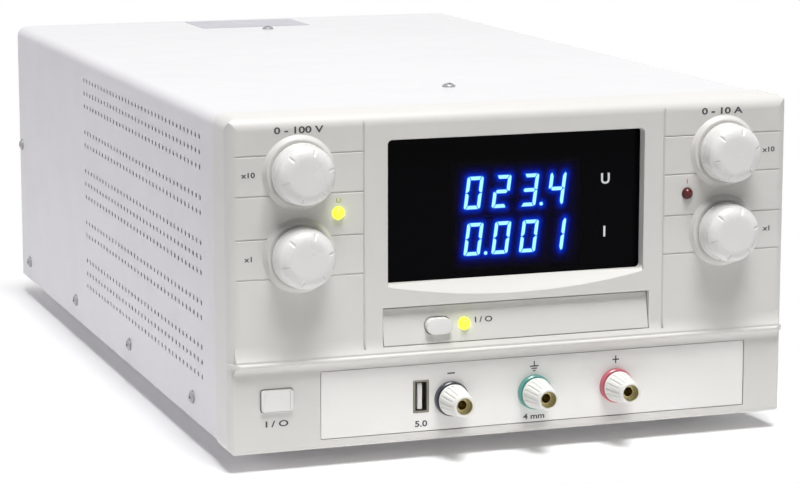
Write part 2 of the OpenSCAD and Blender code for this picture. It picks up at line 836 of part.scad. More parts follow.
module bezel_screws() {
    color("gray") in_body() for (p = boss_places) translate([p[0], panel_back, p[1]])
        rotate([-90, 0, 0]) {
            cylinder(d = 2 * boss_screw_d - 0.4, h = 1.8);
            translate([0, 0, -5]) cylinder(d = boss_screw_d - 0.6, h = 5 + eps);
        }
}

// Case

rear_screw_y = body_d - rear_screw_in;
rear_screw_z = bezel_h - rear_screw_head;
side_screws = 4;
side_screw_pitch = (body_d - side_screw_end - side_screw_y) / (side_screws - 1);
top_screw_places = [top_screw_y, body_d - top_screw_end];

module side_screw_places() {
    for (i = [0:side_screws - 1])
        translate([side_screw_y + i * side_screw_pitch, side_screw_z]) children();
    translate([rear_screw_y, rear_screw_z]) children();
}

// Row numbers left out of the vent field, so that it falls into five bands
vent_gaps = [3, 6, 10, 13];
vent_rows = 17;
vent_z = bezel_h - vent_head;
vent_pitch_z = (vent_z - vent_low) / (vent_rows - 1);

function is_gap(r) = len([for (g = vent_gaps) if (g == r) g]) > 0;

module vent_field() {
    for (c = [0:vent_columns - 1], r = [0:vent_rows - 1]) if (!is_gap(r))
        translate([vent_y + c * vent_pitch_y, vent_z - r * vent_pitch_z]) circle(d = vent_d);
}

module cover_section() {
    difference() {
        translate([0, base_rise]) top_rounded(cover_w, cover_top - base_rise, edge_r);
        translate([0, base_rise - 1]) top_rounded(inner_w, inner_top - base_rise + 1, edge_r - cover_t);
    }
}

module top_cover() {
    color("gainsboro") in_body() difference() {
        slab(cover_y, body_d) cover_section();
        side_slab(cover_w + 2) {
            vent_field();
            side_screw_places() circle(d = screw_d + 0.4);
        }
        for (y = top_screw_places) translate([0, y, inner_top - 1])
            cylinder(d = screw_d + 0.4, h = cover_t + 2);
    }
}

foot_x = bezel_w / 2 - foot_inset_x;
foot_y_places = [foot_inset_y, body_d - foot_inset_y];
tap_d = screw_d - 0.5;

module foot_places() {
    for (sx = [-1, 1], y = foot_y_places) translate([sx * foot_x, y, 0]) children();
}

floor_w = inner_w - 2 * sheet_play;
slot_pitch = 18;
slot_w = 4;

module floor_pan() {
    color("lightgray") in_body() difference() {
        slab(cover_y, rear_y - panel_t - sheet_play) difference() {
            translate([-floor_w / 2, base_rise]) square([floor_w, floor_flange_h]);
            translate([panel_t - floor_w / 2, floor_top])
                square([floor_w - 2 * panel_t, floor_flange_h]);
        }
        side_slab(cover_w + 2) side_screw_places() circle(d = tap_d);
        foot_places() translate([0, 0, base_rise - 1]) cylinder(d = tap_d, h = panel_t + 2);
        standoff_places() translate([0, 0, base_rise - 1]) cylinder(d = tap_d, h = panel_t + 2);
        // Rows of slots below the board
        for (i = [-4:4], y = [board_y + 40, board_y + board_l - 70])
            translate([i * slot_pitch, y, base_rise - 1]) linear_extrude(panel_t + 2)
                rotate(90) pill(2 * slot_pitch, slot_w);
    }
}

rear_flange = 13;
rear_w = inner_w - 2 * sheet_play;
rear_top = inner_top - sheet_play;

module rear_panel() {
    color("lightgray") in_body() difference() {
        union() {
            slab(rear_y - panel_t, rear_y) translate([0, floor_top])
                top_rounded(rear_w, rear_top - floor_top, edge_r);
            slab(rear_y - rear_flange, rear_y - panel_t + eps) {
                translate([edge_r - rear_w / 2, rear_top - panel_t])
                    square([rear_w - 2 * edge_r, panel_t]);
                for (s = [-1, 1]) translate([s * (rear_w - panel_t) / 2 - panel_t / 2,
                    base_rise + floor_flange_h + 1])
                    square([panel_t, rear_top - edge_r - base_rise - floor_flange_h - 1]);
            }
        }
        slab(rear_y - panel_t - 1, rear_y + 1) {
            translate([fan_x, fan_z]) circle(d = fan_w - 5);
            fan_hole_places() circle(d = 4.4);
            translate([-inlet_x, inlet_mid_z])
                square([inlet_body_w + 2 * sheet_play, inlet_body_h + 2 * sheet_play],
                    center = true);
            inlet_hole_places() circle(d = 3.4);
        }
        side_slab(cover_w + 2) translate([rear_screw_y, rear_screw_z]) circle(d = tap_d);
    }
}

bracket_w = 40;
bracket_flange = 16;
bracket_slot = [24, 12];

// Uprights on the floor that carry the two screws in the top
module cover_brackets() {
    color("silver") in_body() for (y = top_screw_places)
        translate([0, y, 0]) difference() {
            union() {
                translate([-bracket_w / 2, bracket_flange / 2 - panel_t, floor_top])
                    cube([bracket_w, panel_t, inner_top - sheet_play - floor_top]);
                for (z = [floor_top, inner_top - sheet_play - panel_t])
                    translate([-bracket_w / 2, -bracket_flange / 2, z])
                        cube([bracket_w, bracket_flange, panel_t]);
            }
            translate([0, 0, inner_top - 2 * panel_t])
                cylinder(d = tap_d, h = 2 * panel_t + 1);
            translate([0, bracket_flange / 2, (floor_top + inner_top) / 2])
                rotate([90, 0, 0]) linear_extrude(6, center = true)
                    pill(bracket_slot[0], bracket_slot[1]);
        }
}

// Pan head with a cross recess, its thread running down from the head's seat
module case_screw() {
    difference() {
        union() {
            cylinder(d = tap_d - 0.1, h = screw_l + eps);
            translate([0, 0, screw_l]) rotate_extrude() intersection() {
                square([screw_head_d / 2, screw_head_h]);
                translate([0, screw_head_h - 4.2]) circle(4.2);
            }
        }
        for (a = [0, 90]) translate([0, 0, screw_l + screw_head_h]) rotate(a)
            cube([screw_head_d * 0.55, 0.7, 1.8], center = true);
    }
}

module case_screws() {
    color("silver") in_body() {
        for (s = [-1, 1]) {
            for (i = [0:side_screws - 1])
                translate([0, side_screw_y + i * side_screw_pitch, side_screw_z])
                    rotate([0, s * 90, 0]) translate([0, 0, cover_w / 2 - screw_l]) case_screw();
            translate([0, rear_screw_y, rear_screw_z])
                rotate([0, s * 90, 0]) translate([0, 0, cover_w / 2 - screw_l]) case_screw();
        }
        for (y = top_screw_places) translate([0, y, cover_top - screw_l]) case_screw();
    }
}

foot_h = ground_gap + base_rise;

module feet() {
    color("dimgray") in_body() foot_places() translate([0, 0, -ground_gap]) difference() {
        rotate_extrude() difference() {
            polygon([
                [0, 0], [foot_d / 2 - 1, 0], [foot_d / 2, 1], [foot_d / 2 + 1, foot_h], [0, foot_h]
            ]);
            square([screw_d / 2 + 0.3, foot_h]);
        }
        translate([0, 0, -1]) cylinder(d = screw_head_d + 3, h = foot_pocket + 1);
    }
}

module foot_screws() {
    color("silver") in_body() foot_places() {
        translate([0, 0, foot_pocket - ground_gap - 2]) cylinder(d = screw_head_d, h = 2);
        translate([0, 0, foot_pocket - ground_gap - eps])
            cylinder(d = tap_d - 0.1, h = foot_h - foot_pocket + panel_t + 1);
    }
}

// Knobs, their shafts and the controls behind them

shoulder_r = (knob_d - knob_face_d) / 2 + 1.6;

module knob_profile() {
    intersection() {
        polygon([
            [0, 0], [knob_d / 2 - 0.4, 0], [knob_d / 2, 0.5], [knob_d / 2 - 0.3, knob_l * 0.36],
            [knob_d / 2 - 0.3, knob_l - shoulder_r], [knob_d / 2 - 1.2, knob_l], [0, knob_l]
        ]);
        union() {
            square([knob_d / 2, knob_l - shoulder_r]);
            square([knob_d / 2 - shoulder_r, knob_l]);
            translate([knob_d / 2 - shoulder_r, knob_l - shoulder_r]) circle(shoulder_r);
        }
    }
}

dimple_r = 0.8;
dimple_l = 2.8;
dimple_deep = 0.4;
dimple_slope = 32;
dimple_turn = 14;

// Turned knob with dimples on its shoulder and a bore with a flat for the shaft
module knob() {
    bore_l = knob_l - 3;
    difference() {
        rotate_extrude() knob_profile();
        for (i = [0:knob_dimples - 1]) rotate(dimple_turn + i * 360 / knob_dimples)
            translate([knob_d / 2 - shoulder_r, 0, knob_l - shoulder_r])
                rotate([0, dimple_slope, 0])
                    translate([-dimple_l / 2, 0, shoulder_r + dimple_r - dimple_deep]) {
                        rotate([0, 90, 0]) cylinder(r = dimple_r, h = dimple_l);
                        for (x = [0, dimple_l]) translate([x, 0, 0]) sphere(dimple_r);
                    }
        translate([0, 0, -eps]) linear_extrude(bore_l) shaft_section(round_clear);
        translate([0, 0, -eps]) cylinder(d = bush_d + 3, h = 2);
    }
}

module shaft_section(clear) {
    difference() {
        circle(d = shaft_d + 2 * clear);
        translate([shaft_d / 2 - shaft_flat + clear, -shaft_d]) square([shaft_d, 2 * shaft_d]);
    }
}

shaft_in = 3.6;
bush_front = bezel_wall + 1.5;

module knob_shaft() {
    round_in = 1.8;
    flat_l = knob_l - 3.4 - round_in;
    translate([0, 0, round_in - knob_y]) linear_extrude(flat_l) shaft_section(0);
    translate([0, 0, -panel_back - shaft_in])
        cylinder(d = shaft_d, h = panel_back + shaft_in - knob_y + round_in + eps);
}

module placed_knob(s, z) {
    color("white") in_body() forward(s * knob_x, knob_y, z) knob();
}

module placed_shaft(s, z) {
    color("silver") in_body() forward(s * knob_x, 0, z) knob_shaft();
}

module voltage_coarse_knob() placed_knob(-1, knob_high_z);
module voltage_fine_knob() placed_knob(-1, knob_low_z);
module current_coarse_knob() placed_knob(1, knob_high_z);
module current_fine_knob() placed_knob(1, knob_low_z);
module voltage_coarse_shaft() placed_shaft(-1, knob_high_z);
module voltage_fine_shaft() placed_shaft(-1, knob_low_z);
module current_coarse_shaft() placed_shaft(1, knob_high_z);
module current_fine_shaft() placed_shaft(1, knob_low_z);

module potentiometers() {
    nut_t = 2;
    color("darkslategray") in_body() for (s = [-1, 1], z = [knob_high_z, knob_low_z])
        forward(s * knob_x, 0, z) difference() {
            union() {
                translate([0, 0, -front_board_y]) cylinder(d = pot_d, h = front_board_y - panel_back);
                translate([0, 0, -panel_back - eps])
                    cylinder(d = bush_d, h = panel_back - bush_front + eps);
                translate([0, 0, -panel_y]) cylinder(d = bush_d + 4, h = nut_t, $fn = 6);
            }
            translate([0, 0, -panel_back - shaft_in - 0.2])
                cylinder(d = shaft_d + 2 * round_clear, h = panel_back + shaft_in + 1);
        }
}

// Buttons and their switches

plunger_w = 4;
power_travel = 3;
output_travel = 1.5;
power_switch_l = 24;
power_button_l = 8;
plunger_in = 6;

module power_button() {
    front = lower_set - power_out;
    color("white") in_body() difference() {
        union() {
            slab(front, front + power_button_l) translate([-power_x, power_z])
                rounded(power_w, power_h, 1.2);
            translate([-power_x - plunger_w / 2, front + power_button_l - eps,
                power_z - plunger_w / 2])
                cube([plunger_w, panel_back + plunger_in - front - power_button_l, plunger_w]);
        }
        // Shallow dish in the face
        translate([-power_x, front - 39.7, power_z]) rotate([0, 90, 0])
            cylinder(r = 40, h = power_w - 2.4, center = true, $fn = 128);
    }
}

module power_switch() {
    hole = plunger_w + 2 * slide_clear;
    color("dimgray") in_body() difference() {
        union() {
            slab(panel_back, panel_back + power_switch_l) translate([-power_x, power_z])
                square([15, 12], center = true);
            slab(panel_back, panel_back + panel_t) translate([-power_x, power_z])
                square([power_w + 8, power_h + 6], center = true);
            for (x = [-4, 4], y = [8, 16]) translate([-power_x + x, panel_back + y, power_z - 10])
                cube([0.8, 2, 5]);
        }
        slab(panel_back - 1, panel_back + plunger_in + 1) translate([-power_x, power_z])
            square([hole, hole], center = true);
    }
}

output_switch_d = 3.4;
output_stem_d = 3.6;

module output_button() {
    stem_end = front_board_y - output_switch_d + 0.3;
    color("white") in_body() {
        difference() {
            slab(-output_out, panel_back - 1) translate([-output_x, output_z])
                pill(output_w, output_h);
            // Softly crowned face
            difference() {
                slab(-output_out - 1, 0.4 - output_out) translate([-output_x, output_z])
                    pill(output_w + 1, output_h + 1);
                translate([-output_x, 30 - output_out, output_z]) rotate([0, 90, 0])
                    cylinder(r = 30, h = output_w + 2, center = true, $fn = 128);
            }
        }
        forward(-output_x, stem_end, output_z)
            cylinder(d = output_stem_d, h = stem_end - panel_back + 1 + eps);
    }
}

module output_switch() {
    color("black") in_body() difference() {
        slab(front_board_y - output_switch_d, front_board_y) translate([-output_x, output_z])
            square([8, 8], center = true);
        forward(-output_x, front_board_y - output_switch_d + 0.5 + output_travel, output_z)
            cylinder(d = output_stem_d + 2 * slide_clear, h = 6);
    }
}

// Lamps with their legs down to the board

module lamp(x, z, face) {
    leg_d = 0.7;
    dome_y = face - lamp_out + lamp_d / 2;
    flange_y = bezel_wall + 1;
    color("yellowgreen") in_body() {
        translate([x, dome_y, z]) sphere(d = lamp_d);
        forward(x, flange_y + 1, z) cylinder(d = lamp_d, h = flange_y + 1 - dome_y);
        forward(x, flange_y + 1, z) cylinder(d = lamp_d + 0.9, h = 1);
        for (s = [-1, 1]) forward(x + s * 1.27, front_board_y, z)
            cylinder(d = leg_d, h = front_board_y - flange_y - 0.5);
    }
}

module green_lamps() {
    lamp(-mode_lamp_x, mode_lamp_z, 0);
    strip_face = (output_z - strip_z) * tan(strip_slope) - strip_out;
    lamp(-output_lamp_x, output_z, strip_face);
}

module red_lamp() {
    lamp(mode_lamp_x, mode_lamp_z, 0);
}

// Charging socket

usb_in_w = 5.12;
usb_in_h = 12.5;
usb_wall = 0.35;

module usb_shell() {
    color("silver") in_body() difference() {
        union() {
            slab(plate_face, front_board_y) translate([-usb_x, usb_z])
                square([usb_in_w + 2 * usb_wall, usb_in_h + 2 * usb_wall], center = true);
            slab(plate_face, plate_face + 0.4) translate([-usb_x, usb_z])
                square([usb_cut_w - 0.3, usb_cut_h - 0.3], center = true);
        }
        slab(plate_face - 1, front_board_y + 1) translate([-usb_x, usb_z])
            square([usb_in_w, usb_in_h], center = true);
    }
}

module usb_tongue() {
    tongue_front = plate_face + 0.8;
    tongue_root = tongue_front + 9;
    color("white") in_body() {
        slab(tongue_root, front_board_y) translate([-usb_x, usb_z])
            square([usb_in_w - 0.1, usb_in_h - 0.1], center = true);
        slab(tongue_front, tongue_root + eps) translate([-usb_x - 0.3, usb_z])
            square([2, 11.1], center = true);
    }
}

// Binding posts

module at_post(i, y) {
    in_body() forward(post_x + i * post_pitch, y, post_z) children();
}

// Front ring with its neck through the panels, and the insulating washer behind them
module post_ring(i, shade) {
    bore = stem_d + 2 * slide_clear;
    color(shade) {
        at_post(i, panel_back) difference() {
            union() {
                cylinder(d = neck_d, h = panel_back - plate_face + eps);
                translate([0, 0, panel_back - plate_face]) cylinder(d = ring_d, h = ring_h - 0.5);
                translate([0, 0, panel_back - plate_face + ring_h - 0.5 - eps])
                    cylinder(d1 = ring_d, d2 = ring_d - 1, h = 0.5 + eps);
            }
            translate([0, 0, -1]) cylinder(d = bore, h = panel_back + 10);
        }
        at_post(i, panel_back + 1.5) difference() {
            cylinder(d = ring_d - 2, h = 1.5);
            translate([0, 0, -1]) cylinder(d = bore, h = 4);
        }
    }
}

stem_back = panel_back + stem_tail;
stem_front = cap_y - cap_l + stem_recess;
nut_h = 3.5;

module post_stem(i) {
    color("gold") at_post(i, stem_back) difference() {
        union() {
            cylinder(d = stem_d, h = stem_back - stem_front);
            translate([0, 0, stem_back - panel_back - 1.5 - nut_h])
                cylinder(d = stem_d * 1.9, h = nut_h, $fn = 6);
        }
        translate([0, 0, stem_back - stem_front - plug_bore_l])
            cylinder(d = plug_bore_d, h = plug_bore_l + 1);
    }
}

module post_washer(i) {
    color("silver") at_post(i, washer_y) difference() {
        cylinder(d = washer_d, h = washer_t);
        translate([0, 0, -1]) cylinder(d = stem_d + 2 * round_clear, h = washer_t + 2);
    }
}

// Tapered cap with flutes between two smooth rims
module post_cap(i) {
    flute_r = 0.55;
    rim_h = 1.6;
    taper = atan((cap_d - cap_tip_d) / 2 / cap_l);
    color("white") at_post(i, cap_y) difference() {
        union() {
            cylinder(d1 = cap_d, d2 = cap_tip_d, h = cap_l - 0.4);
            translate([0, 0, cap_l - 0.4 - eps])
                cylinder(d1 = cap_tip_d, d2 = cap_tip_d - 0.8, h = 0.4 + eps);
        }
        for (k = [0:cap_flutes - 1]) rotate(k * 360 / cap_flutes)
            translate([cap_d / 2 + 0.2, 0, 0]) rotate([0, -taper, 0])
                translate([0, 0, rim_h]) cylinder(r = flute_r, h = cap_l - 2 * rim_h);
        translate([0, 0, -1]) cylinder(d = stem_d + 2 * round_clear, h = cap_l + 2);
        translate([0, 0, cap_l - stem_recess]) cylinder(d = stem_d + 0.9, h = stem_recess + 1);
    }
}

module negative_ring() post_ring(-1, "dimgray");
module negative_stem() post_stem(-1);
module negative_washer() post_washer(-1);
module negative_cap() post_cap(-1);
module ground_ring() post_ring(0, "teal");
module ground_stem() post_stem(0);
module ground_washer() post_washer(0);
module ground_cap() post_cap(0);
module positive_ring() post_ring(1, "crimson");
module positive_stem() post_stem(1);
module positive_washer() post_washer(1);
module positive_cap() post_cap(1);

// Power stage on the main board

board_w = bezel_w - 2 * board_side;
board_l = body_d - board_end - board_y;
main_z = floor_top + standoff_h;
board_top = main_z + board_t;
board_edge = 8;

module standoff_places() {
    for (sx = [-1, 1], y = [board_edge, board_l / 2, board_l - board_edge])
        translate([sx * (board_w / 2 - board_edge), board_y + y, 0]) children();
}

// The board is notched round the uprights that carry the cover's top screws
module main_board() {
    notch_w = bracket_w + 4;
    color("darkgreen") in_body() difference() {
        translate([-board_w / 2, board_y, main_z]) cube([board_w, board_l, board_t]);
        standoff_places() translate([0, 0, main_z - 1]) cylinder(d = tap_d + 0.7, h = board_t + 2);
        translate([-notch_w / 2, board_y - 1, main_z - 1])
            cube([notch_w, top_screw_y + bracket_flange / 2 + 3 - board_y, board_t + 2]);
    }
}

sink_base_t = 6;
fin_l = 24;
fin_t = 1.6;
sink_x = board_w / 2 - fin_l - 4.5;
bulk_y = body_d - board_end - bulk_d / 2 - 10.5;
sink_y = bulk_y - bulk_d / 2 - 4.5 - sink_l;

// Two finned extrusions standing on the board, fins outwards
module heat_sinks() {
    fin_pitch = (sink_h - fin_t) / (sink_fins - 1);
    color("darkgray") in_body() for (s = [-1, 1])
        slab(sink_y, sink_y + sink_l) translate([s * sink_x, board_top]) {
            translate([-sink_base_t / 2, 0]) square([sink_base_t, sink_h]);
            for (i = [0:sink_fins - 1])
                translate([s > 0 ? sink_base_t / 2 - eps : eps - sink_base_t / 2 - fin_l,
                    i * fin_pitch])
                    square([fin_l, fin_t]);
        }
}

module power_transistors() {
    package = [5, 16, 21];
    package_z = 30;
    lead = [0.8, 1.2, 20];
    lead_pitch = 5.4;
    color("black") in_body() for (s = [-1, 1], i = [0:3])
        translate([s * (sink_x - sink_base_t / 2 - package[0] / 2),
            sink_y + sink_l * (i + 0.5) / 4, board_top + package_z]) {
            cube(package, center = true);
            for (k = [-1:1]) translate([-lead[0] / 2, k * lead_pitch - lead[1] / 2, -package_z])
                cube(lead);
        }
}

core_d = 21;
core_y = board_y + core_in;
winding_w = core_w * 0.62;

// Ferrite frame with a middle leg, standing on its edge
module transformer_core() {
    leg = core_w * 0.16;
    color("darkslategray") in_body() translate([0, core_y, board_top]) difference() {
        translate([-core_w / 2, -core_d / 2, 0]) cube([core_w, core_d, core_w]);
        for (s = [-1, 1]) translate([s * (core_w / 2 - leg / 2 - core_w * 0.16) - core_w * 0.08,
            -core_d / 2 - 1, leg])
            cube([core_w * 0.16, core_d + 2, core_w - 2 * leg]);
    }
}

module transformer_winding() {
    leg = core_w * 0.16;
    window_in = core_w / 2 - leg / 2 - core_w * 0.16 - core_w * 0.08;
    color("orange") in_body() translate([0, core_y, board_top + leg + 0.3])
        linear_extrude(core_w - 2 * leg - 0.6) difference() {
            rounded(2 * (window_in + core_w * 0.16) - 0.6, core_d + 22, 6);
            square([2 * window_in + 0.6, core_d + 0.6], center = true);
        }
}

module bulk_capacitors() {
    color("midnightblue") in_body() for (i = [0:2])
        translate([board_w / 2 - bulk_d / 2 - 10 - i * (bulk_d + 6), bulk_y, board_top]) difference() {
            cylinder(d = bulk_d, h = bulk_h);
            translate([0, 0, bulk_h * 0.86]) rotate_extrude()
                translate([bulk_d / 2 + 0.6, 0]) circle(1.4);
        }
}

// Back: fan, guard, mains inlet and fuse drawer

fan_x = bezel_w / 2 - fan_side;
inlet_x = bezel_w / 2 - inlet_side;

module fan_hole_places() {
    for (sx = [-1, 1], sz = [-1, 1])
        translate([fan_x + sx * fan_pitch / 2, fan_z + sz * fan_pitch / 2]) children();
}

fan_back = rear_y - panel_t;
fan_front = fan_back - fan_d;
duct_r = fan_w / 2 - 1.5;
hub_r = 19;
fan_flange = 3.5;
strut_t = 3;
stator_r = 15;
spindle_d = 3;

module fan_frame() {
    color("dimgray") in_body() {
        difference() {
            union() {
                slab(fan_front, fan_front + fan_flange) translate([fan_x, fan_z])
                    rounded(fan_w, fan_w, 4);
                slab(fan_back - fan_flange, fan_back) translate([fan_x, fan_z])
                    rounded(fan_w, fan_w, 4);
                slab(fan_front, fan_back) translate([fan_x, fan_z]) circle(r = fan_w / 2 - 0.1);
            }
            slab(fan_front - 1, fan_back + 1) {
                translate([fan_x, fan_z]) circle(r = duct_r);
                fan_hole_places() circle(d = 4.3);
            }
        }
        // Struts and stator on the outlet side
        difference() {
            union() {
                slab(fan_back - strut_t, fan_back) translate([fan_x, fan_z]) {
                    circle(r = hub_r);
                    for (a = [45:90:315]) rotate(a) translate([0, -2]) square([duct_r + 0.5, 4]);
                }
                slab(fan_back - strut_t - 14, fan_back) translate([fan_x, fan_z])
                    circle(r = stator_r);
            }
            slab(fan_front - 1, fan_back - 2) translate([fan_x, fan_z])
                circle(d = spindle_d + 2 * round_clear);
        }
    }
}

module fan_rotor() {
    rotor_l = fan_d - strut_t - 2;
    blade_l = duct_r - hub_r + 1;
    color("black") in_body() forward(fan_x, fan_back - strut_t - 1, fan_z) {
        difference() {
            union() {
                cylinder(r = hub_r, h = rotor_l);
                intersection() {
                    cylinder(r = duct_r - 1, h = rotor_l);
                    for (i = [0:fan_blades - 1]) rotate(i * 360 / fan_blades)
                        translate([hub_r - 1 + blade_l / 2, 0, rotor_l / 2]) rotate([36, 0, 0])
                            cube([blade_l, 30, 1.8], center = true);
                }
            }
            translate([0, 0, -1]) cylinder(r = stator_r + 1, h = rotor_l - 2);
        }
        translate([0, 0, 2]) cylinder(d = spindle_d, h = rotor_l - 2.5);
    }
}

// Wire rings on four spokes that end in eyes under the screws
module fan_guard() {
    ring_step = (fan_w / 2 - 4) / guard_rings;
    color("silver") in_body() {
        forward(fan_x, rear_y + guard_wire / 2, fan_z) {
            for (k = [1:guard_rings]) rotate_extrude()
                translate([k * ring_step, 0]) circle(d = guard_wire, $fn = 24);
        }
        for (a = [45:90:315]) translate([fan_x, rear_y + 1.5 * guard_wire, fan_z])
            rotate([0, -a, 0]) rotate([0, 90, 0])
                cylinder(d = guard_wire * 1.02, h = fan_pitch / sqrt(2) - 2.6, $fn = 24);
        slab(rear_y, rear_y + 2 * guard_wire) difference() {
            fan_hole_places() circle(d = 8);
            fan_hole_places() circle(d = 4.3);
        }
    }
}

// Screws of the fan with its guard, and of the mains inlet
module back_screws() {
    fan_seat = rear_y + 2 * guard_wire;
    inlet_seat = rear_y + inlet_flange_t;
    color("silver") in_body() {
        slab(fan_back + 6 - fan_d, fan_seat + eps) fan_hole_places() circle(d = 3.8);
        slab(fan_seat, fan_seat + fan_head_h) fan_hole_places() circle(d = 7);
        slab(rear_y - panel_t - 3, inlet_seat + eps) inlet_hole_places() circle(d = 3);
        slab(inlet_seat, inlet_seat + 1.5) inlet_hole_places() circle(d = 5.6);
    }
}

inlet_body_w = 27.5;
inlet_rib = 1.6;
inlet_body_h = inlet_cavity_h + fuse_drawer_h + 3 * inlet_rib;
inlet_body_l = 29;
inlet_pitch = 36;
inlet_flange_t = 2.5;
cavity_z = inlet_z;
drawer_z = cavity_z - inlet_cavity_h / 2 - inlet_rib - fuse_drawer_h / 2;
inlet_mid_z = cavity_z + inlet_cavity_h / 2 + inlet_rib - inlet_body_h / 2;
cavity_back = rear_y + inlet_flange_t - inlet_cavity_l;
pin_l = 14;

module inlet_hole_places() {
    for (s = [-1, 1]) translate([s * inlet_pitch / 2 - inlet_x, inlet_mid_z]) children();
}

module inlet_cavity() {
    chamfer = 4.5;
    w = inlet_cavity_w / 2;
    h = inlet_cavity_h / 2;
    polygon([[-w, -h], [w, -h], [w, h - chamfer], [w - chamfer, h], [chamfer - w, h], [-w, h - chamfer]]);
}

// Appliance inlet with passages for three blades, and a slot for the fuse drawer below
module mains_inlet() {
    color("black") in_body() {
        difference() {
            union() {
                slab(rear_y - panel_t - inlet_body_l, rear_y + eps) translate([-inlet_x, inlet_mid_z])
                    square([inlet_body_w, inlet_body_h], center = true);
                slab(rear_y, rear_y + inlet_flange_t) translate([-inlet_x, inlet_mid_z])
                    rounded(inlet_pitch + 12, inlet_body_h + 4, 3);
            }
            slab(cavity_back, rear_y + inlet_flange_t + 1) translate([-inlet_x, cavity_z])
                inlet_cavity();
            slab(rear_y + inlet_flange_t - fuse_drawer_l - 0.5, rear_y + inlet_flange_t + 1)
                translate([-inlet_x, drawer_z])
                    square([drawer_w + 2 * slide_clear, fuse_drawer_h + 2 * slide_clear],
                        center = true);
            slab(rear_y - 1, rear_y + inlet_flange_t + 1) inlet_hole_places() circle(d = 3.4);
            pin_slab() square([pin_w, pin_t], center = true);
        }
    }
}

pin_w = 2;
pin_t = 4;

// Places of the three blades, from behind the body to their tips in the cavity
module pin_slab() {
    slab(cavity_back - inlet_body_l - 8, cavity_back + pin_l) for (p = [[-7, -2], [7, -2], [0, 2]])
        translate([p[0] - inlet_x, cavity_z + p[1]]) children();
}

module inlet_pins() {
    color("silver") in_body() difference() {
        pin_slab() square([pin_w, pin_t], center = true);
        slab(cavity_back - inlet_body_l - 9, rear_y - panel_t - inlet_body_l - 6)
            translate([-inlet_x, cavity_z]) square(40, center = true);
    }
}

drawer_w = 23;
drawer_wall = 1.2;
drawer_front = rear_y + inlet_flange_t - fuse_drawer_l;
fuse_d = 5.2;
fuse_l = 20;

// Fuse drawer, open at the top
module fuse_drawer() {
    color("black") in_body() difference() {
        slab(drawer_front, rear_y + inlet_flange_t + 0.8) translate([-inlet_x, drawer_z])
            square([drawer_w, fuse_drawer_h], center = true);
        translate([-inlet_x - drawer_w / 2 + drawer_wall, drawer_front + drawer_wall,
            drawer_z - fuse_drawer_h / 2 + drawer_wall])
            cube([drawer_w - 2 * drawer_wall, fuse_drawer_l - 4, fuse_drawer_h]);
    }
}

module fuse() {
    color("silver") in_body()
        translate([-inlet_x, drawer_front + drawer_wall + 0.1,
            drawer_z - fuse_drawer_h / 2 + drawer_wall + fuse_d / 2])
            rotate([-90, 0, 0]) cylinder(d = fuse_d, h = fuse_l);
}

front_bezel();
terminal_plate();
control_strip();
display_window();
display_modules();
digit_bars();
control_board();
board_spacers();
inner_panel();
bezel_screws();
top_cover();
floor_pan();
rear_panel();
cover_brackets();
case_screws();
back_screws();
feet();
foot_screws();
voltage_coarse_knob();
voltage_coarse_shaft();
voltage_fine_knob();
voltage_fine_shaft();
current_coarse_knob();
current_coarse_shaft();
current_fine_knob();
current_fine_shaft();
potentiometers();
power_button();
power_switch();
output_button();
output_switch();
green_lamps();
red_lamp();
usb_shell();
usb_tongue();
negative_ring();
negative_stem();
negative_washer();
negative_cap();
ground_ring();
ground_stem();
ground_washer();
ground_cap();
positive_ring();
positive_stem();
positive_washer();
positive_cap();
main_board();
heat_sinks();
power_transistors();
transformer_core();
transformer_winding();
bulk_capacitors();
fan_frame();
fan_rotor();
fan_guard();
mains_inlet();
inlet_pins();
fuse_drawer();
fuse();
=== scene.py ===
import math

import bmesh
import bpy
from mathutils import Matrix, Vector, kdtree


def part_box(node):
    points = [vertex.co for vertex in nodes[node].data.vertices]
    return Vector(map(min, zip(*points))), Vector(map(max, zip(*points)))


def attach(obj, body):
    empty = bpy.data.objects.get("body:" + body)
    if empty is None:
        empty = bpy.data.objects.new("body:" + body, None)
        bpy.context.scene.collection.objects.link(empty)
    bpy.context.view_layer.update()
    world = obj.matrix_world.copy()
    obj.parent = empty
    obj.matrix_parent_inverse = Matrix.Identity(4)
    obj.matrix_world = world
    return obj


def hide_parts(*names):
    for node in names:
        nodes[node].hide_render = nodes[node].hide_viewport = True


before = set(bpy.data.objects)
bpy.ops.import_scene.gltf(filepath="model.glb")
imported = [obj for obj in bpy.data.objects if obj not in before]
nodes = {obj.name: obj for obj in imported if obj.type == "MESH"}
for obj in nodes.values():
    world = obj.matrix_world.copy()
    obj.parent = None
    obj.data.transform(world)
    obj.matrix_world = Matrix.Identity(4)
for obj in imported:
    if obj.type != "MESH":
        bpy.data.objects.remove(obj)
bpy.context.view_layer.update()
print("frame loaded:", len(nodes), "nodes")

# places on the front are counted from the bezel, in millimetres
mm = 0.001
bezelDepth = 20.5                                 # from the upper front face to the bezel's back edge
postX = {"negative": -29.0, "ground": 9.2, "positive": 47.4}
bezelLow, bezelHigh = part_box("front_bezel")
faceY = bezelHigh.y - bezelDepth * mm
bezelFoot = bezelLow.z


def place(x, y, z):                               # from the middle line, the upper face and the bezel's foot
    return Vector((x * mm, faceY + y * mm, bezelFoot + z * mm))


def upright(x, y, z, tilt=0):                     # stands a flat drawing up against the front
    return Matrix.Translation(place(x, y, z)) @ Matrix.Rotation(math.radians(90 - tilt), 4, "X")


def addObject(name, data):
    item = bpy.data.objects.new(name, data)
    bpy.context.scene.collection.objects.link(item)
    return item


def meshFrom(bm, name):
    mesh = bpy.data.meshes.new(name)
    bm.to_mesh(mesh)
    bm.free()
    return mesh


# node helpers that materials and shader groups share

def feed(tree, socket, value):                    # links a socket or sets a plain value
    if isinstance(value, bpy.types.NodeSocket):
        tree.links.new(value, socket)
    else:
        socket.default_value = value


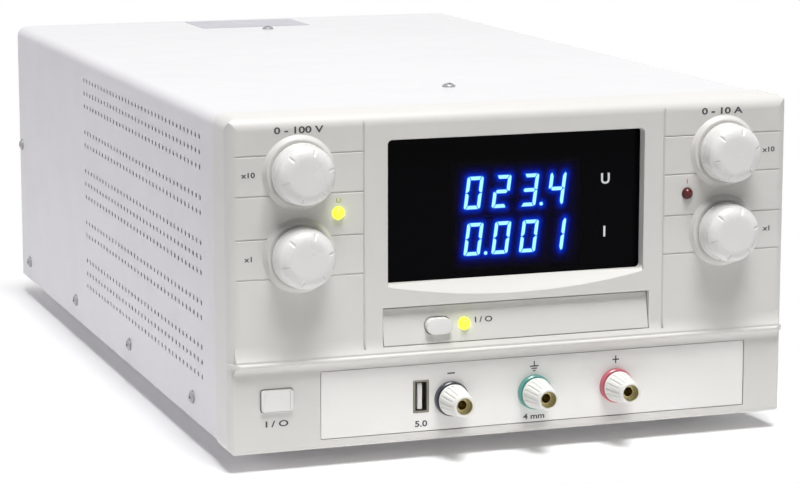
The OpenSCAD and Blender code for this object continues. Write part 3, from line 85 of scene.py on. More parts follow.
def mathNode(tree, operation, a, b, clamp=False):
    node = tree.nodes.new("ShaderNodeMath")
    node.operation = operation
    node.use_clamp = clamp
    feed(tree, node.inputs[0], a)
    feed(tree, node.inputs[1], b)
    return node.outputs[0]


def vectorNode(tree, operation, a, b=None):
    node = tree.nodes.new("ShaderNodeVectorMath")
    node.operation = operation
    feed(tree, node.inputs[0], a)
    if b is not None:
        feed(tree, node.inputs[1], b)
    return node.outputs["Value" if operation in ("LENGTH", "DOT_PRODUCT") else "Vector"]


def rangeNode(tree, value, low, high, toLow, toHigh, smooth=False):
    node = tree.nodes.new("ShaderNodeMapRange")
    node.interpolation_type = "SMOOTHSTEP" if smooth else "LINEAR"
    tree.links.new(value, node.inputs["Value"])
    for label, number in (("From Min", low), ("From Max", high), ("To Min", toLow), ("To Max", toHigh)):
        node.inputs[label].default_value = number
    return node.outputs[0]


def colourMix(tree, factor, first, second):
    node = tree.nodes.new("ShaderNodeMix")
    node.data_type = "RGBA"
    tree.links.new(factor, node.inputs["Factor"])
    for socket, value in ((node.inputs[6], first), (node.inputs[7], second)):
        feed(tree, socket, value if isinstance(value, bpy.types.NodeSocket) else (*value, 1))
    return node.outputs[2]


def noiseNode(tree, point, scale, detail, rough=0.5):
    node = tree.nodes.new("ShaderNodeTexNoise")
    node.inputs["Detail"].default_value = detail
    node.inputs["Roughness"].default_value = rough
    tree.links.new(point, node.inputs["Vector"])
    feed(tree, node.inputs["Scale"], scale)
    return node.outputs["Fac"]


def bumpNode(tree, height, depth, strength, normal=None):
    node = tree.nodes.new("ShaderNodeBump")
    node.inputs["Strength"].default_value = strength
    node.inputs["Distance"].default_value = depth
    tree.links.new(height, node.inputs["Height"])
    if normal is not None:
        tree.links.new(normal, node.inputs["Normal"])
    return node.outputs[0]


def newGroup(name, inputs, outputs):
    group = bpy.data.node_groups.new(name, "ShaderNodeTree")
    for way, sockets in (("INPUT", inputs), ("OUTPUT", outputs)):
        for label, kind in sockets:
            group.interface.new_socket(name=label, in_out=way, socket_type="NodeSocket" + kind)
    return group, group.nodes.new("NodeGroupInput"), group.nodes.new("NodeGroupOutput")


def useGroup(tree, group, **values):
    node = tree.nodes.new("ShaderNodeGroup")
    node.node_tree = group
    for label, value in values.items():
        feed(tree, node.inputs[label.replace("_", " ")], value)
    return node


# moulded or sprayed grain, slow colour drift and handling smudges
grainLook = {
    "detail": 2.0, "coarseScale": 0.31, "fineShare": 0.65, "coarseShare": 0.35,
    "driftScale": 9.0, "driftDetail": 3.0, "drift": (0.3, 0.7),
    "smudgeScale": 38.0, "smudgeDetail": 5.0, "smudgeRough": 0.62, "smudge": (0.42, 0.74),
}


def makeGrainGroup(look):
    group, given, result = newGroup("surfaceGrain", [("Point", "Vector"), ("Grain Scale", "Float")],
                                    [("Grain", "Float"), ("Drift", "Float"), ("Smudge", "Float")])
    point, scale = given.outputs["Point"], given.outputs["Grain Scale"]
    fine = noiseNode(group, point, scale, look["detail"])
    coarse = noiseNode(group, point, mathNode(group, "MULTIPLY", scale, look["coarseScale"]), look["detail"])
    blend = mathNode(group, "ADD", mathNode(group, "MULTIPLY", fine, look["fineShare"]),
                     mathNode(group, "MULTIPLY", coarse, look["coarseShare"]))
    group.links.new(blend, result.inputs["Grain"])
    drift = noiseNode(group, point, look["driftScale"], look["driftDetail"])
    group.links.new(rangeNode(group, drift, *look["drift"], 0, 1), result.inputs["Drift"])
    smudge = noiseNode(group, point, look["smudgeScale"], look["smudgeDetail"], look["smudgeRough"])
    group.links.new(rangeNode(group, smudge, *look["smudge"], 0, 1), result.inputs["Smudge"])
    return group


# long fine lines left by rolling, drawing or turning
streakLook = {"scale": 1.0, "detail": 4.0, "rough": 0.6, "cloudScale": 55.0, "cloudDetail": 3.0}


def makeStreakGroup(look):
    group, given, result = newGroup("drawnStreaks", [("Point", "Vector"), ("Stretch", "Vector")],
                                    [("Streak", "Float"), ("Cloud", "Float")])
    point = given.outputs["Point"]
    drawn = vectorNode(group, "MULTIPLY", point, given.outputs["Stretch"])
    streak = noiseNode(group, drawn, look["scale"], look["detail"], look["rough"])
    group.links.new(streak, result.inputs["Streak"])
    group.links.new(noiseNode(group, point, look["cloudScale"], look["cloudDetail"]), result.inputs["Cloud"])
    return group


# rounds an edge's shading and marks where the edge is, from the cosine between both normals
edgeLook = {"samples": 4, "cosine": (0.98, 0.72)}


def makeEdgeGroup(look):
    group, given, result = newGroup("softEdge", [("Radius", "Float")],
                                    [("Normal", "Vector"), ("Edge", "Float")])
    bevel = group.nodes.new("ShaderNodeBevel")
    bevel.samples = look["samples"]
    group.links.new(given.outputs["Radius"], bevel.inputs["Radius"])
    shape = group.nodes.new("ShaderNodeNewGeometry")
    facing = vectorNode(group, "DOT_PRODUCT", bevel.outputs[0], shape.outputs["Normal"])
    group.links.new(bevel.outputs[0], result.inputs["Normal"])
    group.links.new(rangeNode(group, facing, *look["cosine"], 0, 1), result.inputs["Edge"])
    return group


def makeAxisGroup():                              # distance from a line along Y through a centre
    group, given, result = newGroup("axisDistance", [("Point", "Vector"), ("Centre", "Vector")],
                                    [("Distance", "Float")])
    offset = vectorNode(group, "SUBTRACT", given.outputs["Point"], given.outputs["Centre"])
    flat = vectorNode(group, "MULTIPLY", offset, (1, 0, 1))
    group.links.new(vectorNode(group, "LENGTH", flat), result.inputs["Distance"])
    return group


grainGroup = makeGrainGroup(grainLook)
streakGroup = makeStreakGroup(streakLook)
edgeGroup = makeEdgeGroup(edgeLook)
axisGroup = makeAxisGroup()
print("shader groups built")


def startMaterial(name):
    material = bpy.data.materials.new(name)
    material.use_nodes = True
    tree = material.node_tree
    tree.nodes.clear()
    shader = tree.nodes.new("ShaderNodeBsdfPrincipled")
    output = tree.nodes.new("ShaderNodeOutputMaterial")
    tree.links.new(shader.outputs[0], output.inputs["Surface"])
    point = tree.nodes.new("ShaderNodeTexCoord").outputs["Object"]
    return material, tree, shader, point


def findNode(material, kind):
    return next(node for node in material.node_tree.nodes if node.type == kind)


def nearestAxis(tree, point, centres):            # distance from the nearest of some lines along Y
    distance = None
    for centre in centres:
        value = useGroup(tree, axisGroup, Point=point, Centre=tuple(centre)).outputs["Distance"]
        distance = value if distance is None else mathNode(tree, "MINIMUM", distance, value)
    return distance


# what a plastic has where its own line doesn't say otherwise
plasticBase = {"soil": 0.15, "wear": 0.2, "bump": 0.6, "coatRough": 0.12,
               "skinRadius": (0.002, 0.0018, 0.0015)}


def plasticFinish(name, own):
    look = {**plasticBase, **own}
    material, tree, shader, point = startMaterial(name)
    grain = useGroup(tree, grainGroup, Point=point, Grain_Scale=look["grain"])
    colour = colourMix(tree, grain.outputs["Drift"], look["colour"], look["shade"])
    soiled = mathNode(tree, "MULTIPLY", grain.outputs["Smudge"], look["soil"])
    colour = colourMix(tree, soiled, colour, look.get("dust", look["shade"]))
    normal = None
    if "edge" in look:
        edge = useGroup(tree, edgeGroup, Radius=look["edge"])
        normal = edge.outputs["Normal"]
        worn = mathNode(tree, "MULTIPLY", edge.outputs["Edge"], look["wear"])
        colour = colourMix(tree, worn, colour, look.get("worn", look["colour"]))
    tree.links.new(colour, shader.inputs["Base Color"])
    tree.links.new(rangeNode(tree, grain.outputs["Smudge"], 0, 1, *look["rough"]), shader.inputs["Roughness"])
    bump = bumpNode(tree, grain.outputs["Grain"], look["depth"], look["bump"], normal)
    tree.links.new(bump, shader.inputs["Normal"])
    if "shine" in look:
        shader.inputs["Specular IOR Level"].default_value = look["shine"]
    if "coat" in look:
        shader.inputs["Coat Weight"].default_value = look["coat"]
        shader.inputs["Coat Roughness"].default_value = look["coatRough"]
    if "skin" in look:
        shader.inputs["Subsurface Weight"].default_value = look["skin"]
        shader.inputs["Subsurface Radius"].default_value = look["skinRadius"]
    return material


# what all the metals share
metalBase = {"edge": 0.0002, "wear": 0.35, "streak": (0.3, 0.7), "bump": 0.5}


def metalFinish(name, own):
    look = {**metalBase, **own}
    material, tree, shader, point = startMaterial(name)
    streak = useGroup(tree, streakGroup, Point=point, Stretch=look["stretch"])
    colour = colourMix(tree, streak.outputs["Cloud"], look["colour"], look["shade"])
    edge = useGroup(tree, edgeGroup, Radius=look["edge"])
    worn = mathNode(tree, "MULTIPLY", edge.outputs["Edge"], look["wear"])
    tree.links.new(colourMix(tree, worn, colour, look["colour"]), shader.inputs["Base Color"])
    shader.inputs["Metallic"].default_value = 1.0
    rough = rangeNode(tree, streak.outputs["Streak"], *look["streak"], *look["rough"])
    tree.links.new(rough, shader.inputs["Roughness"])
    bump = bumpNode(tree, streak.outputs["Streak"], look["depth"], look["bump"], edge.outputs["Normal"])
    tree.links.new(bump, shader.inputs["Normal"])
    return material


plastics = {
    "bezelPlastic": {"colour": (0.63, 0.62, 0.593), "shade": (0.612, 0.602, 0.576), "rough": (0.42, 0.52),
                     "grain": 2600, "depth": 0.00006, "edge": 0.0005, "wear": 0.15, "soil": 0.1},
    "platePlastic": {"colour": (0.78, 0.77, 0.745), "shade": (0.765, 0.755, 0.73), "rough": (0.38, 0.5),
                     "grain": 2600, "depth": 0.00005, "edge": 0.0003, "soil": 0.08},
    "coverPaint": {"colour": (0.645, 0.638, 0.648), "shade": (0.63, 0.623, 0.633), "rough": (0.36, 0.46),
                   "grain": 1500, "depth": 0.00009, "edge": 0.0004, "wear": 0.25, "soil": 0.08,
                   "shine": 0.36},
    "backPaint": {"colour": (0.655, 0.648, 0.658), "shade": (0.635, 0.628, 0.638), "rough": (0.38, 0.5),
                  "grain": 1500, "depth": 0.00009, "edge": 0.0003, "soil": 0.2},
    "moduleBlack": {"colour": (0.002, 0.002, 0.003), "shade": (0.0015, 0.0015, 0.002), "rough": (0.5, 0.65),
                    "grain": 3000, "depth": 0.00002, "shine": 0.0},
    "boardGreen": {"colour": (0.012, 0.10, 0.045), "shade": (0.008, 0.07, 0.032), "rough": (0.3, 0.45),
                   "grain": 900, "depth": 0.00005, "coat": 0.3},
    "footRubber": {"colour": (0.022, 0.022, 0.022), "shade": (0.035, 0.034, 0.032), "rough": (0.7, 0.85),
                   "grain": 1400, "depth": 0.0001, "soil": 0.4, "dust": (0.12, 0.115, 0.105), "edge": 0.0005},
    "knobWhite": {"colour": (0.72, 0.715, 0.70), "shade": (0.705, 0.70, 0.685), "rough": (0.24, 0.34),
                  "grain": 2200, "depth": 0.00003, "skin": 0.08, "edge": 0.0004, "soil": 0.06},
    "buttonWhite": {"colour": (0.74, 0.73, 0.71), "shade": (0.72, 0.71, 0.69), "rough": (0.3, 0.4),
                    "grain": 2200, "depth": 0.00003, "skin": 0.06, "edge": 0.0004, "soil": 0.1},
    "capWhite": {"colour": (0.735, 0.73, 0.705), "shade": (0.715, 0.71, 0.685), "rough": (0.3, 0.42),
                 "grain": 2200, "depth": 0.00003, "edge": 0.0003, "soil": 0.12},
    "switchBlack": {"colour": (0.018, 0.018, 0.019), "shade": (0.012, 0.012, 0.013), "rough": (0.38, 0.55),
                    "grain": 1800, "depth": 0.00006, "edge": 0.0003, "worn": (0.05, 0.05, 0.05)},
    "fanBlack": {"colour": (0.02, 0.02, 0.022), "shade": (0.014, 0.014, 0.015), "rough": (0.35, 0.55),
                 "grain": 1500, "depth": 0.00007, "edge": 0.0003, "soil": 0.5, "dust": (0.09, 0.088, 0.082)},
    "tongueWhite": {"colour": (0.72, 0.71, 0.68), "shade": (0.68, 0.67, 0.64), "rough": (0.4, 0.5),
                    "grain": 2000, "depth": 0.00003},
    "ringBlack": {"colour": (0.035, 0.04, 0.055), "shade": (0.028, 0.032, 0.045), "rough": (0.25, 0.4),
                  "grain": 2200, "depth": 0.00003, "edge": 0.0003, "coat": 0.2},
    "ringGreen": {"colour": (0.095, 0.33, 0.285), "shade": (0.08, 0.29, 0.25), "rough": (0.25, 0.4),
                  "grain": 2200, "depth": 0.00003, "edge": 0.0003, "coat": 0.2},
    "ringRed": {"colour": (0.54, 0.125, 0.165), "shade": (0.49, 0.11, 0.145), "rough": (0.25, 0.4),
                "grain": 2200, "depth": 0.00003, "edge": 0.0003, "coat": 0.2},
    "packageBlack": {"colour": (0.02, 0.02, 0.02), "shade": (0.03, 0.03, 0.03), "rough": (0.5, 0.6),
                     "grain": 2500, "depth": 0.00005},
    "ferriteGrey": {"colour": (0.045, 0.045, 0.05), "shade": (0.03, 0.03, 0.034), "rough": (0.55, 0.7),
                    "grain": 1100, "depth": 0.00008},
    "tapeYellow": {"colour": (0.62, 0.42, 0.06), "shade": (0.55, 0.36, 0.05), "rough": (0.3, 0.45),
                   "grain": 700, "depth": 0.00008, "coat": 0.25},
    "sleeveBlue": {"colour": (0.012, 0.02, 0.075), "shade": (0.01, 0.016, 0.06), "rough": (0.18, 0.3),
                   "grain": 900, "depth": 0.00005, "coat": 0.4},
    "printInk": {"colour": (0.045, 0.045, 0.05), "shade": (0.06, 0.06, 0.065), "rough": (0.5, 0.6),
                 "grain": 5000, "depth": 0.00002},
    "printWhite": {"colour": (0.72, 0.74, 0.76), "shade": (0.68, 0.70, 0.72), "rough": (0.5, 0.6),
                   "grain": 5000, "depth": 0.00002},
    "printGreen": {"colour": (0.42, 0.45, 0.12), "shade": (0.38, 0.42, 0.10), "rough": (0.5, 0.6),
                   "grain": 5000, "depth": 0.00002},
    "printRed": {"colour": (0.50, 0.16, 0.12), "shade": (0.46, 0.14, 0.10), "rough": (0.5, 0.6),
                 "grain": 5000, "depth": 0.00002},
    "foilGrey": {"colour": (0.41, 0.40, 0.44), "shade": (0.37, 0.36, 0.40), "rough": (0.3, 0.42),
                 "grain": 1200, "depth": 0.00004, "soil": 0.1},
}
metals = {
    "zincSteel": {"colour": (0.62, 0.63, 0.64), "shade": (0.50, 0.51, 0.52), "rough": (0.28, 0.42),
                  "stretch": (60, 1400, 1400), "depth": 0.00002},
    "nickelPlate": {"colour": (0.66, 0.64, 0.60), "shade": (0.52, 0.50, 0.47), "rough": (0.16, 0.3),
                    "stretch": (900, 900, 900), "depth": 0.00001},
    "screwSteel": {"colour": (0.42, 0.42, 0.43), "shade": (0.33, 0.33, 0.34), "rough": (0.24, 0.38),
                   "stretch": (900, 900, 900), "depth": 0.00001},
    "socketShell": {"colour": (0.30, 0.285, 0.235), "shade": (0.22, 0.21, 0.17), "rough": (0.3, 0.45),
                    "stretch": (900, 900, 900), "depth": 0.00001},
    "spacerBrass": {"colour": (0.62, 0.44, 0.16), "shade": (0.52, 0.36, 0.12), "rough": (0.24, 0.36),
                    "stretch": (1500, 120, 1500), "depth": 0.00001},
    "postBrass": {"colour": (0.52, 0.44, 0.24), "shade": (0.40, 0.33, 0.17), "rough": (0.2, 0.34),
                  "stretch": (1800, 300, 1800), "depth": 0.00001},
    "sinkAluminium": {"colour": (0.60, 0.61, 0.62), "shade": (0.50, 0.51, 0.52), "rough": (0.34, 0.48),
                      "stretch": (1500, 25, 1500), "depth": 0.00002},
}
finishes = {name: plasticFinish(name, look) for name, look in plastics.items()}
finishes.update({name: metalFinish(name, look) for name, look in metals.items()})

# smoked window: black print all round, clear only in front of the digits, with a faint painted reflection
# glowing there
windowLook = {
    "clearX": (-24.4, 29.8), "clearZ": (73.9, 115.7), "fade": 3.5, "clear": 0.45,
    "paintedReflection": 0.0036, "paintedReflectionColour": (0.85, 0.8, 1.0), "colour": (0.0010, 0.0008, 0.0014),
    "shade": (0.0014, 0.0011, 0.0018), "rough": (0.03, 0.06), "grain": 2400.0, "depth": 0.00001,
    "bump": 0.1, "ior": 1.45, "shine": 0.04,
}


def makeWindowMaterial(look):
    material, tree, shader, point = startMaterial("smokedWindow")
    split = tree.nodes.new("ShaderNodeSeparateXYZ")
    tree.links.new(point, split.inputs[0])
    fade = look["fade"] * mm
    masks = []
    for axis, (low, high), origin in (("X", look["clearX"], 0.0), ("Z", look["clearZ"], bezelFoot)):
        value = split.outputs[axis]
        low, high = low * mm + origin, high * mm + origin
        masks.append(rangeNode(tree, value, low - fade, low, 0, 1, True))
        masks.append(rangeNode(tree, value, high, high + fade, 1, 0, True))
    clear = masks[0]
    for mask in masks[1:]:
        clear = mathNode(tree, "MULTIPLY", clear, mask)
    grain = useGroup(tree, grainGroup, Point=point, Grain_Scale=look["grain"])
    colour = colourMix(tree, grain.outputs["Drift"], look["colour"], look["shade"])
    tree.links.new(colour, shader.inputs["Base Color"])
    tree.links.new(rangeNode(tree, grain.outputs["Smudge"], 0, 1, *look["rough"]), shader.inputs["Roughness"])
    bump = bumpNode(tree, grain.outputs["Drift"], look["depth"], look["bump"])
    tree.links.new(bump, shader.inputs["Normal"])
    tree.links.new(rangeNode(tree, clear, 0, 1, 1.0, look["clear"]), shader.inputs["Alpha"])
    shader.inputs["IOR"].default_value = look["ior"]
    shader.inputs["Specular IOR Level"].default_value = look["shine"]
    # painted reflection: the clear field glows faintly, so it stays as bright as the glossy print round it
    shader.inputs["Emission Color"].default_value = (*look["paintedReflectionColour"], 1)
    tree.links.new(rangeNode(tree, clear, 0, 1, 0.0, look["paintedReflection"]), shader.inputs["Emission Strength"])
    return material


finishes["smokedWindow"] = makeWindowMaterial(windowLook)

# lamps: lit lenses whose light changes from the lens's axis out to its rim
lampLook = {
    "radius": 2.5, "coreReach": 0.25, "rimReach": 1.02, "shade": 0.85, "grain": 1500.0,
    "rough": (0.08, 0.18), "coat": 0.2, "shine": 0.3,
    "lampGreen": {"centres": [(-79.6, 100.7), (-23.2, 49.9)], "lens": (0.30, 0.50, 0.03),
                  "core": (0.62, 0.64, 0.016), "rim": (0.62, 0.72, 0.012), "strength": 4.2},
    "lampRed": {"centres": [(79.6, 100.7)], "lens": (0.075, 0.003, 0.004),
                "core": (0.05, 0.002, 0.002), "rim": (0.0, 0.0, 0.0), "strength": 0.5},
}


def makeLampMaterial(name, look):
    own, radius = look[name], look["radius"] * mm
    material, tree, shader, point = startMaterial(name)
    distance = nearestAxis(tree, point, [place(x, 0, z) for x, z in own["centres"]])
    core = rangeNode(tree, distance, radius * look["coreReach"], radius * look["rimReach"], 1, 0, True)
    grain = useGroup(tree, grainGroup, Point=point, Grain_Scale=look["grain"])
    shade = tuple(part * look["shade"] for part in own["lens"])
    tree.links.new(colourMix(tree, grain.outputs["Drift"], own["lens"], shade), shader.inputs["Base Color"])
    tree.links.new(rangeNode(tree, grain.outputs["Smudge"], 0, 1, *look["rough"]), shader.inputs["Roughness"])
    tree.links.new(colourMix(tree, core, own["rim"], own["core"]), shader.inputs["Emission Color"])
    shader.inputs["Emission Strength"].default_value = own["strength"]
    shader.inputs["Coat Weight"].default_value = look["coat"]
    shader.inputs["Specular IOR Level"].default_value = look["shine"]
    return material


for name in ("lampGreen", "lampRed"):
    finishes[name] = makeLampMaterial(name, lampLook)

# fuse: a glass tube between two plated caps
fuseLook = {"cap": 4.0, "blend": 0.2, "glass": (0.7, 0.74, 0.74), "plate": (0.6, 0.59, 0.56),
            "grain": 900.0, "rough": (0.08, 0.2), "clear": 0.4}


def makeFuseGlass(look):
    material, tree, shader, point = startMaterial("fuseGlass")
    split = tree.nodes.new("ShaderNodeSeparateXYZ")
    tree.links.new(point, split.inputs[0])
    along = split.outputs["Y"]
    low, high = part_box("fuse")
    inner, outer = (look["cap"] + look["blend"]) * mm, look["cap"] * mm
    ends = mathNode(tree, "MAXIMUM", rangeNode(tree, along, low.y + outer, low.y + inner, 1, 0),
                    rangeNode(tree, along, high.y - inner, high.y - outer, 0, 1))
    tree.links.new(colourMix(tree, ends, look["glass"], look["plate"]), shader.inputs["Base Color"])
    tree.links.new(ends, shader.inputs["Metallic"])
    grain = useGroup(tree, grainGroup, Point=point, Grain_Scale=look["grain"])
    tree.links.new(rangeNode(tree, grain.outputs["Smudge"], 0, 1, *look["rough"]), shader.inputs["Roughness"])
    tree.links.new(rangeNode(tree, ends, 0, 1, look["clear"], 1.0), shader.inputs["Alpha"])
    return material


finishes["fuseGlass"] = makeFuseGlass(fuseLook)

# post caps: white outside, a brass bush inside the mouth and along the bore
capLook = {"z": 17.6, "bush": 3.65, "blend": 0.05, "brass": (0.42, 0.385, 0.235), "metal": 0.9}


def lineCap(material, look):
    tree = material.node_tree
    shader = findNode(material, "BSDF_PRINCIPLED")
    point = findNode(material, "TEX_COORD").outputs["Object"]
    distance = nearestAxis(tree, point, [place(x, 0, look["z"]) for x in postX.values()])
    inner, outer = (look["bush"] - look["blend"]) * mm, (look["bush"] + look["blend"]) * mm
    bush = rangeNode(tree, distance, inner, outer, 1, 0)
    white = shader.inputs["Base Color"].links[0].from_socket
    tree.links.new(colourMix(tree, bush, white, look["brass"]), shader.inputs["Base Color"])
    tree.links.new(mathNode(tree, "MULTIPLY", bush, look["metal"]), shader.inputs["Metallic"])


lineCap(finishes["capWhite"], capLook)
print("finishes built:", len(finishes))

nodeFinish = {
    "front_bezel": "bezelPlastic", "terminal_plate": "platePlastic", "control_strip": "bezelPlastic",
    "display_window": "smokedWindow", "display_modules": "moduleBlack", "digit_bars": "moduleBlack",
    "control_board": "boardGreen", "board_spacers": "spacerBrass", "inner_panel": "zincSteel",
    "bezel_screws": "nickelPlate", "top_cover": "coverPaint", "floor_pan": "backPaint",
    "rear_panel": "backPaint", "cover_brackets": "zincSteel", "case_screws": "screwSteel",
    "back_screws": "nickelPlate", "feet": "footRubber", "foot_screws": "zincSteel",
    "potentiometers": "zincSteel", "power_button": "buttonWhite", "power_switch": "switchBlack",
    "output_button": "buttonWhite", "output_switch": "switchBlack", "green_lamps": "lampGreen",
    "red_lamp": "lampRed", "usb_shell": "socketShell", "usb_tongue": "tongueWhite",
    "negative_ring": "ringBlack", "ground_ring": "ringGreen", "positive_ring": "ringRed",
    "main_board": "boardGreen", "heat_sinks": "sinkAluminium", "power_transistors": "packageBlack",
    "transformer_core": "ferriteGrey", "transformer_winding": "tapeYellow",
    "bulk_capacitors": "sleeveBlue", "fan_frame": "fanBlack", "fan_rotor": "fanBlack",
    "fan_guard": "nickelPlate", "mains_inlet": "switchBlack", "inlet_pins": "nickelPlate",
    "fuse_drawer": "switchBlack", "fuse": "fuseGlass",
}
for side in ("voltage", "current"):
    for step in ("coarse", "fine"):
        nodeFinish[f"{side}_{step}_knob"] = "knobWhite"
        nodeFinish[f"{side}_{step}_shaft"] = "zincSteel"
for post in postX:
    nodeFinish[f"{post}_stem"] = "postBrass"
    nodeFinish[f"{post}_washer"] = "nickelPlate"
    nodeFinish[f"{post}_cap"] = "capWhite"
for name, node in nodes.items():
    node.data.materials.clear()
    node.data.materials.append(finishes[nodeFinish[name]])
print("CAD nodes dressed")


def finishPiece(name, mesh, finish, body):
    piece = addObject(name, mesh)
    piece.data.materials.clear()
    piece.data.materials.append(finish)
    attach(piece, body)
    return piece


# lit digits: each bar has a pale core and a deeper rim
digitLook = {
    "mergeGap": 1e-6, "flatAngle": 0.02, "facing": 0.9, "inset": 0.3,
    "strength": 5.0, "body": (0.01, 0.02, 0.05),
    "stops": [(0.0, (0.0, 0.075, 0.56)), (0.85, (0.32, 0.78, 0.95))],
}
# black film round the bars with a painted glow of the digits' light on it, centred behind the clear field
haloLook = {
    "x": 2.7, "y": 7.45, "z": 94.8, "halfW": 36.0, "halfH": 25.0, "cell": 0.6,
    "near": 1.8, "nearPower": 1.5, "nearShare": 0.75, "far": 5.5, "farShare": 0.25,
    "strength": 1.9, "body": (0.002, 0.002, 0.003), "shine": 0.0,
    "stops": [(0.0, (0, 0, 0)), (0.2, (0.0, 0.0, 0.25)), (1.0, (0.0, 0.05, 1.0))],
}
glowLook = {"grain": 2500.0, "rough": (0.4, 0.5)}


def makeGlowMaterial(name, attribute, look):
    material, tree, shader, point = startMaterial(name)
    value = tree.nodes.new("ShaderNodeAttribute")
    value.attribute_name = attribute
    ramp = tree.nodes.new("ShaderNodeValToRGB")
    while len(ramp.color_ramp.elements) < len(look["stops"]):
        ramp.color_ramp.elements.new(0.5)
    for element, (position, colour) in zip(ramp.color_ramp.elements, look["stops"]):
        element.position = position
        element.color = (*colour, 1)
    tree.links.new(value.outputs["Fac"], ramp.inputs[0])
    tree.links.new(ramp.outputs[0], shader.inputs["Emission Color"])
    shader.inputs["Emission Strength"].default_value = look["strength"]
    grain = useGroup(tree, grainGroup, Point=point, Grain_Scale=glowLook["grain"])
    # the body keeps one tone, so that only the light in it varies
    tree.links.new(colourMix(tree, grain.outputs["Drift"], look["body"], look["body"]),
                   shader.inputs["Base Color"])
    rough = rangeNode(tree, grain.outputs["Smudge"], 0, 1, *glowLook["rough"])
    tree.links.new(rough, shader.inputs["Roughness"])
    return material


def makeDigits(look):
    bm = bmesh.new()
    bm.from_mesh(nodes["digit_bars"].data)
    bmesh.ops.remove_doubles(bm, verts=bm.verts, dist=look["mergeGap"])
    bmesh.ops.dissolve_limit(bm, angle_limit=look["flatAngle"], verts=bm.verts, edges=bm.edges)
    front = [face for face in bm.faces if face.normal.y < -look["facing"]]
    bmesh.ops.inset_individual(bm, faces=front, thickness=look["inset"] * mm, use_even_offset=True)
    layer = bm.verts.layers.float.new("core")
    for face in front:
        for vert in face.verts:
            vert[layer] = 1.0
    bmesh.ops.triangulate(bm, faces=bm.faces)
    mesh = meshFrom(bm, "digitsLit")
    piece = finishPiece("digitsLit", mesh, makeGlowMaterial("digitGlow", "core", look), "case")
    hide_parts("digit_bars")
    return piece


def makeHalo(digits, look):
    points = [vert.co for vert in digits.data.vertices]
    for edge in digits.data.edges:                # quarter points, so that long bars light evenly
        a, b = (digits.data.vertices[i].co for i in edge.vertices)
        points.extend(a.lerp(b, t / 4) for t in range(1, 4))
    bars = kdtree.KDTree(len(points))
    for index, point in enumerate(points):
        bars.insert((point.x, 0, point.z), index)
    bars.balance()
    bm = bmesh.new()
    columns, rows = (round(2 * look[half] / look["cell"]) for half in ("halfW", "halfH"))
    bmesh.ops.create_grid(bm, x_segments=columns, y_segments=rows, size=mm)
    bmesh.ops.scale(bm, vec=(look["halfW"], look["halfH"], 1), verts=bm.verts)
    bmesh.ops.transform(bm, verts=bm.verts, matrix=upright(look["x"], look["y"], look["z"]))
    # painted glow: each point of the film lights up by its distance from the nearest bar
    layer = bm.verts.layers.float.new("halo")
    for vert in bm.verts:
        distance = bars.find((vert.co.x, 0, vert.co.z))[2] / mm
        near = math.exp(-(distance / look["near"]) ** look["nearPower"])
        far = math.exp(-distance / look["far"])
        vert[layer] = look["nearShare"] * near + look["farShare"] * far
    mesh = meshFrom(bm, "digitHalo")
    material = makeGlowMaterial("haloGlow", "halo", look)
    tree = material.node_tree
    shader = findNode(material, "BSDF_PRINCIPLED")
    light = findNode(material, "ATTRIBUTE").outputs["Fac"]
    tree.links.new(rangeNode(tree, light, 0, 1, 0, look["strength"]), shader.inputs["Emission Strength"])
    shader.inputs["Specular IOR Level"].default_value = look["shine"]
    finishPiece("digitHalo", mesh, material, "case")


makeHalo(makeDigits(digitLook), haloLook)
print("display lit")

# printing: plain signs, figures and units
inkLook = {"thick": 0.04, "lift": 0.01, "capShare": 0.72, "bold": 0.032, "curveSteps": 4}
marks = [
    # name, words, x, y, z, height, width factor, tilt, finish, slot
    ("leftHeading", "0 - 100 V", -96.7, 0, 136.1, 2.8, 1.45, 0, "printInk", "switch_black"),
    ("rightHeading", "0 - 10 A", 95.5, 0, 136.1, 2.8, 1.5, 0, "printInk", "switch_black"),
    ("leftUpperStep", "x10", -118.4, 0, 118.2, 2.2, 1.25, 0, "printInk", "switch_black"),
    ("leftLowerStep", "x1", -118.4, 0, 83.2, 2.2, 1.25, 0, "printInk", "switch_black"),
    ("rightUpperStep", "x10", 118.4, 0, 118.2, 2.2, 1.25, 0, "printInk", "switch_black"),
    ("rightLowerStep", "x1", 118.4, 0, 83.2, 2.2, 1.25, 0, "printInk", "switch_black"),
    ("leftLampUnit", "U", -79.5, 0, 105.9, 2.0, 1.2, 0, "printGreen", "lamp_green"),
    ("rightLampUnit", "I", 79.5, 0, 105.9, 2.0, 1.2, 0, "printRed", "lamp_red"),
    ("rowUnitUpper", "U", 43.0, 5, 108.2, 4.6, 1.0, 0, "printWhite", "button_white"),
    ("rowUnitLower", "I", 42.8, 5, 85.1, 4.6, 1.0, 0, "printWhite", "button_white"),
    ("outputSteps", "I / O", -14.4, 1.2, 51.04, 2.4, 1.3, 11, "printInk", "switch_black"),
    ("powerSteps", "I / O", -106.7, 1, 12.6, 2.6, 1.5, 0, "printInk", "switch_black"),
    ("socketNumber", "5.0", -42.6, 1.3, 7.4, 2.6, 1.3, 0, "printInk", "switch_black"),
    ("plugSize", "4 mm", postX["ground"], 1.3, 6.7, 2.4, 1.3, 0, "printInk", "switch_black"),
]


def makeMark(name, words, x, y, z, height, wide, tilt, finish, slot):
    curve = bpy.data.curves.new(name, "FONT")
    curve.body = words
    curve.align_x = "CENTER"
    curve.align_y = "CENTER"
    curve.size = height / inkLook["capShare"] * mm
    curve.extrude = inkLook["thick"] * mm / 2
    curve.offset = inkLook["bold"] * height * mm
    curve.resolution_u = inkLook["curveSteps"]
    holder = addObject(name + "Words", curve)
    bpy.context.view_layer.update()
    mesh = bpy.data.meshes.new_from_object(holder.evaluated_get(bpy.context.evaluated_depsgraph_get()))
    bpy.data.objects.remove(holder)
    spot = upright(x, y - inkLook["lift"] - inkLook["thick"] / 2, z, tilt)
    mesh.transform(spot @ Matrix.Diagonal((wide, 1, 1, 1)))
    mesh.name = name
    finishPiece(name, mesh, finishes[finish], "case")


for mark in marks:
    makeMark(*mark)

